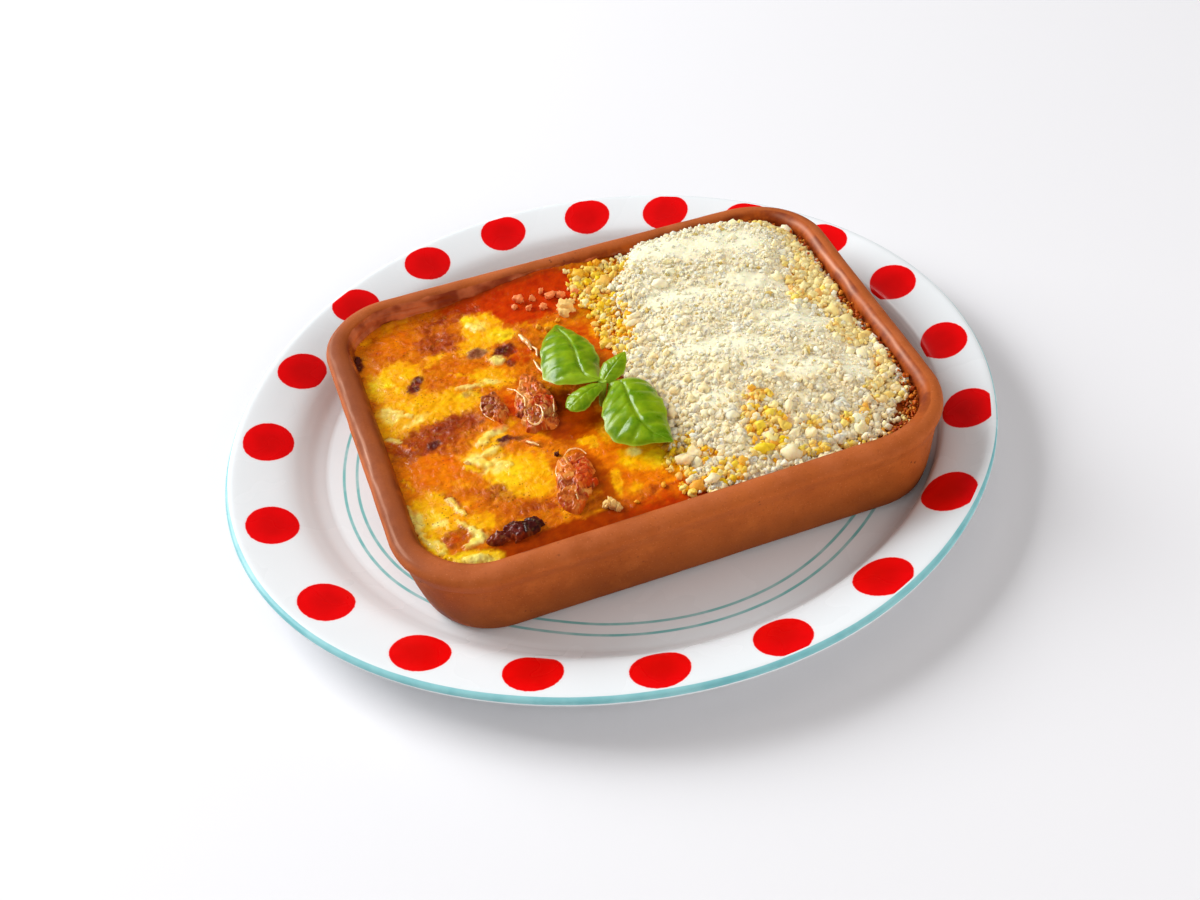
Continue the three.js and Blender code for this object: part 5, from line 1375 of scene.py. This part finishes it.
# ------------------------------------------------------------------ meat, charred piece
MEAT = {
    "orange": (lin(246, 152, 60), lin(230, 108, 22)), "red": (lin(214, 60, 4), lin(180, 34, 2)),
    "purple": (lin(132, 46, 34), lin(96, 28, 22)), "cream": (lin(252, 194, 104), lin(240, 158, 66)),
    "brown": (lin(168, 66, 18), lin(132, 42, 10)), "char": (lin(52, 22, 24), lin(30, 12, 16)),
    "rust": (lin(222, 98, 20), lin(196, 68, 8)),
}
CHUNKS = {  # node: centre x, y, half x, half y, turn, height, lobes (x, y, radius, rise), paint (kind, x, y, hx, hy, turn, share), coat
    "meat_chunk_1": ((-26.6, -4.2, 8.0, 16.4, -0.1, 5.6),
        [(-26.5, 10.5, 4.6, 4.6), (-29.5, 5.0, 3.6, 4.4), (-24.0, 4.5, 4.0, 4.8), (-27.5, -1.5, 4.2, 5.2), (-22.6, -3.0, 3.6, 4.6),
         (-30.6, -6.0, 3.2, 4.0), (-25.4, -9.6, 3.8, 4.6), (-29.2, -13.5, 3.8, 3.8), (-23.8, -14.6, 3.0, 3.2),
         (-27.0, 15.0, 2.8, 3.2), (-21.8, 8.6, 2.6, 3.6), (-27.6, -18.0, 2.6, 2.6)],
        [("orange", -27, 10, 6, 7, 0, 0.9), ("cream", -31, 6, 2.0, 7, -12, 0.9), ("cream", -29, -4, 1.6, 6, 8, 0.8),
         ("red", -24, -4, 3.2, 4, 0, 1.0), ("purple", -22.6, -11, 3, 5, 10, 0.9), ("brown", -29, -12, 4, 5, 0, 0.8),
         ("rust", -24, 3, 4, 4, 0, 0.7), ("purple", -30, -18, 3, 3, 0, 0.6), ("cream", -25, 1, 0.9, 3.2, 35, 0.6)], 1.0),
    "meat_chunk_2": ((-25.2, -49.4, 7.4, 13.6, -0.34, 4.8),
        [(-21.5, -39.5, 3.8, 3.8), (-25.6, -43.0, 3.6, 4.4), (-20.6, -44.6, 3.4, 4.0), (-27.8, -47.6, 3.4, 4.2), (-23.0, -49.6, 3.6, 4.4),
         (-28.4, -53.4, 3.4, 3.8), (-24.6, -55.4, 3.0, 3.4), (-30.4, -58.6, 3.0, 2.8), (-26.6, -60.2, 2.4, 2.2)],
        [("orange", -27, -45, 4, 6, 0, 0.9), ("cream", -29.5, -46, 1.2, 5, 0, 0.7), ("red", -21, -45, 3.2, 6, 5, 0.9),
         ("orange", -21, -39.5, 3, 3, 0, 0.7), ("purple", -28, -51, 3, 2.6, 0, 0.9), ("purple", -25.5, -57, 3, 2.6, 0, 0.8),
         ("brown", -32, -58, 4, 4, 0, 0.8), ("cream", -20.5, -36.5, 3.4, 0.8, 10, 0.9), ("cream", -27, -57, 0.7, 3.5, 10, 0.6)], 1.0),
    "meat_chunk_3": ((-40.6, 0.6, 4.6, 9.8, 0.1, 3.4),
        [(-40.8, 6.4, 3.0, 3.2), (-38.6, 1.6, 3.0, 3.2), (-42.6, 1.0, 2.6, 2.6), (-39.4, -4.4, 3.0, 3.0), (-41.8, -7.4, 2.2, 1.8)],
        [("purple", -41, 3, 5, 7, 0, 1.0), ("brown", -38, -4, 3, 4, 0, 0.8), ("rust", -37.6, 4, 1.6, 5, 0, 0.7),
         ("cream", -43.2, -3, 0.6, 3.4, -20, 0.5), ("orange", -40, -9, 3, 1.6, 0, 0.6)], 1.0),
    "charred_chunk": ((-50.2, -63.8, 11.2, 4.8, 0.12, 3.2),
        [(-43.4, -62.6, 2.8, 3.2), (-47.4, -63.4, 3.0, 3.4), (-51.4, -64.2, 2.8, 2.8), (-55.4, -64.6, 2.6, 2.4), (-58.6, -65.0, 2.0, 1.6),
         (-45.2, -65.6, 2.0, 2.2), (-49.6, -66.4, 2.0, 1.8)],
        [("char", -45, -63, 8, 4, 5, 1.0), ("purple", -54, -64.4, 5, 3, 5, 0.8), ("brown", -58.4, -65.4, 3, 2, 0, 0.9),
         ("rust", -50, -67.4, 7, 1.0, 4, 0.5), ("purple", -41.5, -61.5, 2, 1.6, 0, 0.5)], 0.9),
}


def make_chunk(node, spec, seed):
    (cx, cy, hx, hy, turn, height), lobes, paint, coat = spec
    step = 0.3
    ext = 1.12
    nu, nv = int(2 * hx * ext / step) + 1, int(2 * hy * ext / step) + 1
    # polar grid, so that the outline stays smooth
    nr, na = max(28, int(min(hx, hy) / 0.22)), 150
    s = np.linspace(0, 1, nr)[:, None] ** 0.8
    a = np.linspace(0, 2 * np.pi, na, endpoint=False)[None, :]
    lump = 1 + 0.10 * np.sin(3 * a + seed) + 0.07 * np.sin(5 * a + 2 * seed)
    lx, ly = hx * 1.04 * lump * s * np.cos(a), hy * 1.04 * lump * s * np.sin(a)
    x = (cx + lx * math.cos(turn) - ly * math.sin(turn)).ravel()
    y = (cy + lx * math.sin(turn) + ly * math.cos(turn)).ravel()
    sr = np.broadcast_to(s, lx.shape).ravel()
    ground = food_height(x, y)
    wx = x + 1.3 * fbm2(x / 2.2, y / 2.2, 3, 800 + seed) + 3.4 * fbm2(x / 5.2, y / 5.2, 2, 805 + seed)
    wy = y + 1.3 * fbm2(x / 2.2, y / 2.2, 3, 810 + seed) + 3.4 * fbm2(x / 5.2, y / 5.2, 2, 815 + seed)
    total = np.zeros_like(x)
    k = 1.6
    acc = np.full_like(x, math.exp(-0.9 * k))
    for px, py, r, rise in lobes:
        d2 = ((wx - px) ** 2 + (wy - py) ** 2) / (r * 1.35) ** 2
        dome = rise * np.sqrt(np.clip(1 - d2, 0, 1)) + 0.0
        acc = acc + np.exp(dome * k) - 1
    total = np.log(acc) / k
    cell, tag = cells2(wx / 2.3, wy / 2.3, 880 + seed)
    rough = (0.75 * fbm2(wx / 1.9, wy / 1.9, 3, 820 + seed) + 0.3 * (0.5 - cells2(wx / 1.1, wy / 1.1, 830 + seed)[0])
             + 0.75 * (0.42 - cell))
    total = total * 0.8 + rough * smooth(-0.2, 1.2, total)
    z = ground + total * smooth(1.0, 0.86, sr) - 1.3 * smooth(0.86, 1.0, sr)
    verts = np.column_stack([x, y, z])
    c0 = len(verts)
    verts = np.vstack([verts, [[cx, cy, float(food_height(np.array([cx]), np.array([cy]))[0]) - 1.5]]])
    quads = ring_faces(nr, na)
    faces = [quads[:, ::-1], fan(c0, (nr - 1) * na, na, True)]
    tone = 0.5 + 0.5 * np.clip(fbm2(x / 2, y / 2, 3, 840 + seed) * 1.8, -1, 1)
    A, B = (np.array(c) for c in MEAT["rust" if node != "charred_chunk" else "purple"])
    rgb = A * (1 - tone[:, None]) + B * tone[:, None]
    # fibres and lumps of different colour
    mix = (("orange", 0.38), ("rust", 0.64), ("red", 0.8), ("cream", 0.88), ("purple", 1.0))
    if node == "charred_chunk":
        mix = (("char", 0.6), ("purple", 0.88), ("brown", 1.0))
    last = 0.0
    for kind, upto in mix:
        ca, cb = (np.array(c) for c in MEAT[kind])
        here = ((tag >= last) & (tag < upto))[:, None]
        rgb = np.where(here, 0.3 * rgb + 0.7 * (ca * (1 - tone[:, None]) + cb * tone[:, None]), rgb)
        last = upto
    for kind, px, py, rx, ry, deg, share in paint:
        t = math.radians(deg)
        u = (wx - px) * math.cos(t) + (wy - py) * math.sin(t) + 0.5 * fbm2(x / 1.2, y / 1.2, 2, 850 + seed)
        v = -(wx - px) * math.sin(t) + (wy - py) * math.cos(t) + 0.5 * fbm2(x / 1.2, y / 1.2, 2, 860 + seed)
        m = (0.62 * share * smooth(1.35, 0.6, np.hypot(u / rx, v / ry)))[:, None]
        ca, cb = (np.array(c) for c in MEAT[kind])
        rgb = rgb * (1 - m) + (ca * (1 - tone[:, None]) + cb * tone[:, None]) * m
    # painted shade: darker in the hollows and creases of the lumpy surface
    crease = smooth(0.05, -0.5, rough)[:, None]
    rgb = rgb * (1 - crease * np.array([0.4, 0.62, 0.6]))
    thin = (np.exp(-((cell - 0.4) / 0.05) ** 2) * smooth(-0.05, 0.25, noise2(wx / 2.2, wy / 2.2, 890 + seed))
            * (0.4 if node != "charred_chunk" else 0.1))[:, None]
    rgb = rgb * (1 - thin) + np.array(lin(255, 200, 104)) * thin
    pale = (smooth(0.30, 0.55, noise2(wx / 1.1, wy / 2.6, 870 + seed)) * (0.16 if node != "charred_chunk" else 0.06))[:, None]
    rgb = rgb * (1 - pale) + np.array(MEAT["cream"][0]) * pale
    w = Net(node + "_look")
    col = w.attr("paint", "Color")
    fine = w.noise(1700, 3, 0.6)
    mid = w.noise(650, 3, 0.6)
    col = w.mix(w.math("MULTIPLY", w.ramp(fine, 0.5, 0.72), 0.3), col, w.mix(0.6, col, lin(130, 40, 10), "MULTIPLY"))
    bump = w.bump(fine, 0.35, 0.18, w.bump(mid, 0.6, 0.45))
    mat = w.surface(Base_Color=col, Roughness=w.ramp(mid, 0.3, 0.7, 0.2, 0.42), IOR=1.45, Specular_IOR_Level=0.18,
                    Coat_Weight=coat * 0.24, Coat_Roughness=0.06, Normal=bump)
    slot = "char" if node == "charred_chunk" else "meat"
    ob = new_mesh(node + "_cooked", verts, faces, slot, mat)
    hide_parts(node)
    put_color(ob, "paint", np.vstack([rgb, [A]]))


# ------------------------------------------------------------------ shreds and crumbs on the food
SHREDS = [  # points x, y, height over the food; radii
    ([(-27.0, -7.0, 4.0), (-25.6, -9.6, 4.4), (-25.8, -13.2, 4.0), (-27.6, -16.6, 3.2), (-30.0, -17.0, 2.8), (-31.4, -14.2, 3.0), (-30.6, -11.4, 3.6)], (0.22, 0.34, 0.4, 0.36, 0.2)),
    ([(-33.4, 8.8, 2.0), (-31.6, 5.4, 3.2), (-30.4, 1.6, 3.8), (-29.6, -2.6, 4.0), (-30.6, -6.6, 3.6)], (0.2, 0.34, 0.28, 0.36, 0.2)),
    ([(-19.6, -5.0, 2.6), (-20.6, -9.0, 2.8), (-22.0, -12.8, 2.0), (-24.4, -15.6, 1.4)], (0.18, 0.28, 0.24, 0.16)),
    ([(-20.6, 38.5, 0.7), (-20.0, 35.0, 1.1), (-18.8, 31.6, 1.1), (-18.8, 28.2, 0.7)], (0.5, 0.9, 1.0, 0.4)),
    ([(-18.6, 30.4, 0.9), (-17.0, 27.0, 1.2), (-17.8, 23.6, 0.9)], (0.3, 0.6, 0.35)),
    ([(-19.4, 22.4, 0.7), (-19.2, 18.0, 0.9), (-18.0, 13.0, 1.0), (-16.0, 8.8, 0.9), (-13.8, 6.0, 0.7)], (0.35, 0.55, 0.6, 0.5, 0.3)),
    ([(-35.0, -22.4, 0.6), (-33.2, -24.4, 0.8), (-31.4, -26.2, 0.6)], (0.35, 0.6, 0.3)),
    ([(-25.4, -37.8, 2.2), (-22.6, -35.6, 2.6), (-19.4, -36.6, 2.6), (-17.8, -39.4, 2.0)], (0.18, 0.3, 0.26, 0.18)),
    ([(-29.0, -40.8, 1.8), (-30.2, -44.6, 2.3), (-30.2, -48.6, 2.4), (-29.0, -51.4, 2.6)], (0.16, 0.3, 0.26, 0.18)),
    ([(-24.8, -54.0, 3.0), (-26.6, -56.4, 2.6), (-26.8, -59.4, 1.8)], (0.16, 0.26, 0.16)),
    ([(-13.6, -2.6, 0.9), (-12.4, -4.6, 1.2), (-13.4, -6.8, 0.9)], (0.18, 0.3, 0.18)),
    ([(-43.8, 7.6, 0.9), (-45.2, 2.6, 1.1), (-44.6, -2.4, 1.0), (-42.4, -7.0, 0.8)], (0.14, 0.24, 0.22, 0.14)),
]
CRUMBS = [  # x, y, radius, colour
    (-15, 59, 1.9, "rose"), (-12.6, 52.4, 1.5, "rose"), (-2.4, 56.6, 2.0, "rose"), (-7.2, 51, 1.5, "rose"),
    (0.4, 46.4, 2.6, "peach"), (-0.8, 43.6, 2.0, "peach"), (1.2, 55.4, 1.5, "rose"), (7.4, 54.4, 1.6, "rose"),
    (-17.8, 55.6, 1.2, "rose"), (-9.8, 57.4, 1.1, "rose"), (-5.4, 60.2, 1.2, "rose"), (4.0, 49.6, 1.3, "peach"),
    (4, 73, 1.7, "gold"), (-16.8, -64.6, 2.5, "peach"), (-15.4, -66.0, 1.6, "peach"), (-18.6, -63.2, 1.3, "peach"),
    (-9.6, 36.6, 1.4, "gold"), (-12.6, 39.6, 1.2, "gold"), (-4.6, 40.6, 1.2, "gold"), (-22.6, -17.4, 0.7, "peach"),
    (-27.0, -33.6, 0.9, "dark"), (-57.0, -24.0, 0.9, "peach"), (-8.6, -66.4, 0.8, "gold"), (2.0, -62.8, 1.1, "gold"),
    (-82.6, 49.6, 1.3, "dark"), (-83.4, 46.2, 1.5, "dark"), (-81.6, 52.6, 1.0, "dark"), (-84.0, 44.0, 1.0, "dark"),
]
CRUMB_COLOURS = {"rose": lin(246, 142, 82), "peach": lin(252, 204, 124), "gold": lin(244, 168, 40), "dark": lin(82, 34, 26)}


def make_details(gold_mat):
    verts, faces, base = [], [], 0
    for pts, radii in SHREDS:
        p = np.array(pts, float)
        p[:, 2] += food_height(p[:, 0], p[:, 1]) - 0.1
        v, f = tube(p, radii, 10, 6)
        v = v + 0.14 * np.column_stack([noise3(v[:, 0] / 1.2, v[:, 1] / 1.2, v[:, 2] / 1.2, s) for s in (1, 2, 3)])
        verts.append(v)
        faces.append(f + base)
        base += len(v)
    f = np.vstack(faces)
    quads, tris = f[f[:, 2] != f[:, 3]], f[f[:, 2] == f[:, 3]][:, :3]
    w = Net("soft_shreds")
    n1, n2 = w.noise(240, 3, 0.6), w.noise(900, 3, 0.6)
    col = w.mix(w.ramp(n1, 0.35, 0.65), lin(255, 216, 150), lin(242, 164, 76))
    col = w.mix(w.math("MULTIPLY", w.ramp(n2, 0.5, 0.7), 0.6), col, lin(255, 238, 204))
    mat = w.surface(Base_Color=col, Roughness=w.ramp(n2, 0.3, 0.7, 0.14, 0.3), IOR=1.42, Coat_Weight=0.6,
                    Coat_Roughness=0.06, Subsurface_Weight=0.25, Subsurface_Radius=(1.0, 0.5, 0.2),
                    Subsurface_Scale=0.001, Normal=w.bump(n2, 0.4, 0.2))
    new_mesh("onion_and_cheese_shreds", np.vstack(verts), [quads, tris], "baked_cheese", mat)
    x, y, r = (np.array([c[i] for c in CRUMBS], float) for i in range(3))
    z = food_height(x, y) + r * 0.45
    cols = np.array([CRUMB_COLOURS[c[3]] for c in CRUMBS])
    scatter("crumbs_on_sauce", np.column_stack([x, y, z]), r, cols, 2, "grated_cheese", gold_mat, 0.42, 21)


# ------------------------------------------------------------------ staging
CAMERA_AZ, CAMERA_EL, CAMERA_ROLL = math.radians(-12.162), math.radians(41.115), math.radians(-8.515)
CAMERA_AT = (-96.07, -426.08, 375.88)


def make_camera():
    a, e, r = CAMERA_AZ, CAMERA_EL, CAMERA_ROLL
    back = np.array([math.sin(a) * math.cos(e), -math.cos(a) * math.cos(e), math.sin(e)])
    right0 = np.array([math.cos(a), math.sin(a), 0.0])
    up0 = np.cross(back, right0)
    right = math.cos(r) * right0 + math.sin(r) * up0
    up = -math.sin(r) * right0 + math.cos(r) * up0
    cam = bpy.data.cameras.new("camera")
    cam.sensor_width = 36
    cam.lens = 45.525
    cam.clip_start, cam.clip_end = 0.01, 50
    ob = bpy.data.objects.new("camera", cam)
    m = Matrix.Identity(4)
    for i in range(3):
        m[i][0], m[i][1], m[i][2], m[i][3] = right[i], up[i], back[i], CAMERA_AT[i] * MM
    ob.matrix_world = m
    bpy.context.scene.collection.objects.link(ob)
    bpy.context.scene.camera = ob


def area_light(name, at, aim, size, power, colour=(1, 1, 1), mirrored=True):
    li = bpy.data.lights.new(name, "AREA")
    li.shape = "RECTANGLE"
    li.size, li.size_y = size
    li.energy = power
    li.color = colour
    ob = bpy.data.objects.new(name, li)
    z = np.array(at, float) - np.array(aim, float)
    z /= np.linalg.norm(z)
    x = np.cross([0, 0, 1], z)
    x /= np.linalg.norm(x)
    y = np.cross(z, x)
    m = Matrix.Identity(4)
    for i in range(3):
        m[i][0], m[i][1], m[i][2], m[i][3] = x[i], y[i], z[i], at[i]
    ob.matrix_world = m
    ob.visible_glossy = mirrored
    bpy.context.scene.collection.objects.link(ob)
    return ob


WORLD_FILL, WORLD_GLOSS = 0.20, 0.05


def make_stage():
    w = Net("table_white")
    n = w.noise(3.0, 3)
    mat = w.surface(Base_Color=w.mix(n, (0.84, 0.84, 0.86), (0.86, 0.86, 0.88)), Roughness=0.6,
                    Specular_IOR_Level=0.2, Normal=w.bump(w.noise(900, 2), 0.02, 0.05))
    s = 4000.0
    floor = new_mesh("table", [(-s, -s, -0.05), (s, -s, -0.05), (s, s, -0.05), (-s, s, -0.05)], np.array([[0, 1, 2, 3]]),
                     None, mat, False)
    world = bpy.data.worlds.new("studio")
    bpy.context.scene.world = world
    world.use_nodes = True
    nt = world.node_tree
    bg = nt.nodes["Background"]
    bg.inputs[0].default_value = (1.0, 0.97, 0.96, 1)
    # bright surroundings for the soft fill, dark ones for the mirror-like glaze and oil
    path = nt.nodes.new("ShaderNodeLightPath")
    scale = nt.nodes.new("ShaderNodeMapRange")
    scale.inputs[3].default_value = WORLD_FILL
    scale.inputs[4].default_value = WORLD_GLOSS
    nt.links.new(path.outputs["Is Glossy Ray"], scale.inputs[0])
    nt.links.new(scale.outputs[0], bg.inputs[1])
    # large soft key from behind on the left, weak front fill
    area_light("key", (-1.37, 1.46, 1.20), (0, 0, 0), (1.5, 1.5), 74.0, (0.985, 1.0, 1.015))
    area_light("top", (0.2, 0.1, 1.6), (0, 0, 0), (1.4, 1.4), 3.4, (1.0, 0.97, 0.96), False)
    area_light("front", (1.0, -1.73, 0.95), (0, 0, 0), (2.0, 1.5), 25.0, (1.0, 0.95, 0.93), False)
    sc = bpy.context.scene
    sc.view_settings.view_transform = "Standard"
    sc.view_settings.look = "None"
    sc.view_settings.exposure = 0.06
    sc.view_settings.gamma = 1.0


# ------------------------------------------------------------------ build
make_plate()
make_dish()
make_lasagna()
make_heap_core()
golden = make_heap_grains()
make_basil()
for number, (node, spec) in enumerate(CHUNKS.items()):
    make_chunk(node, spec, 3 + 4 * number)
make_details(golden)
make_camera()
make_stage()
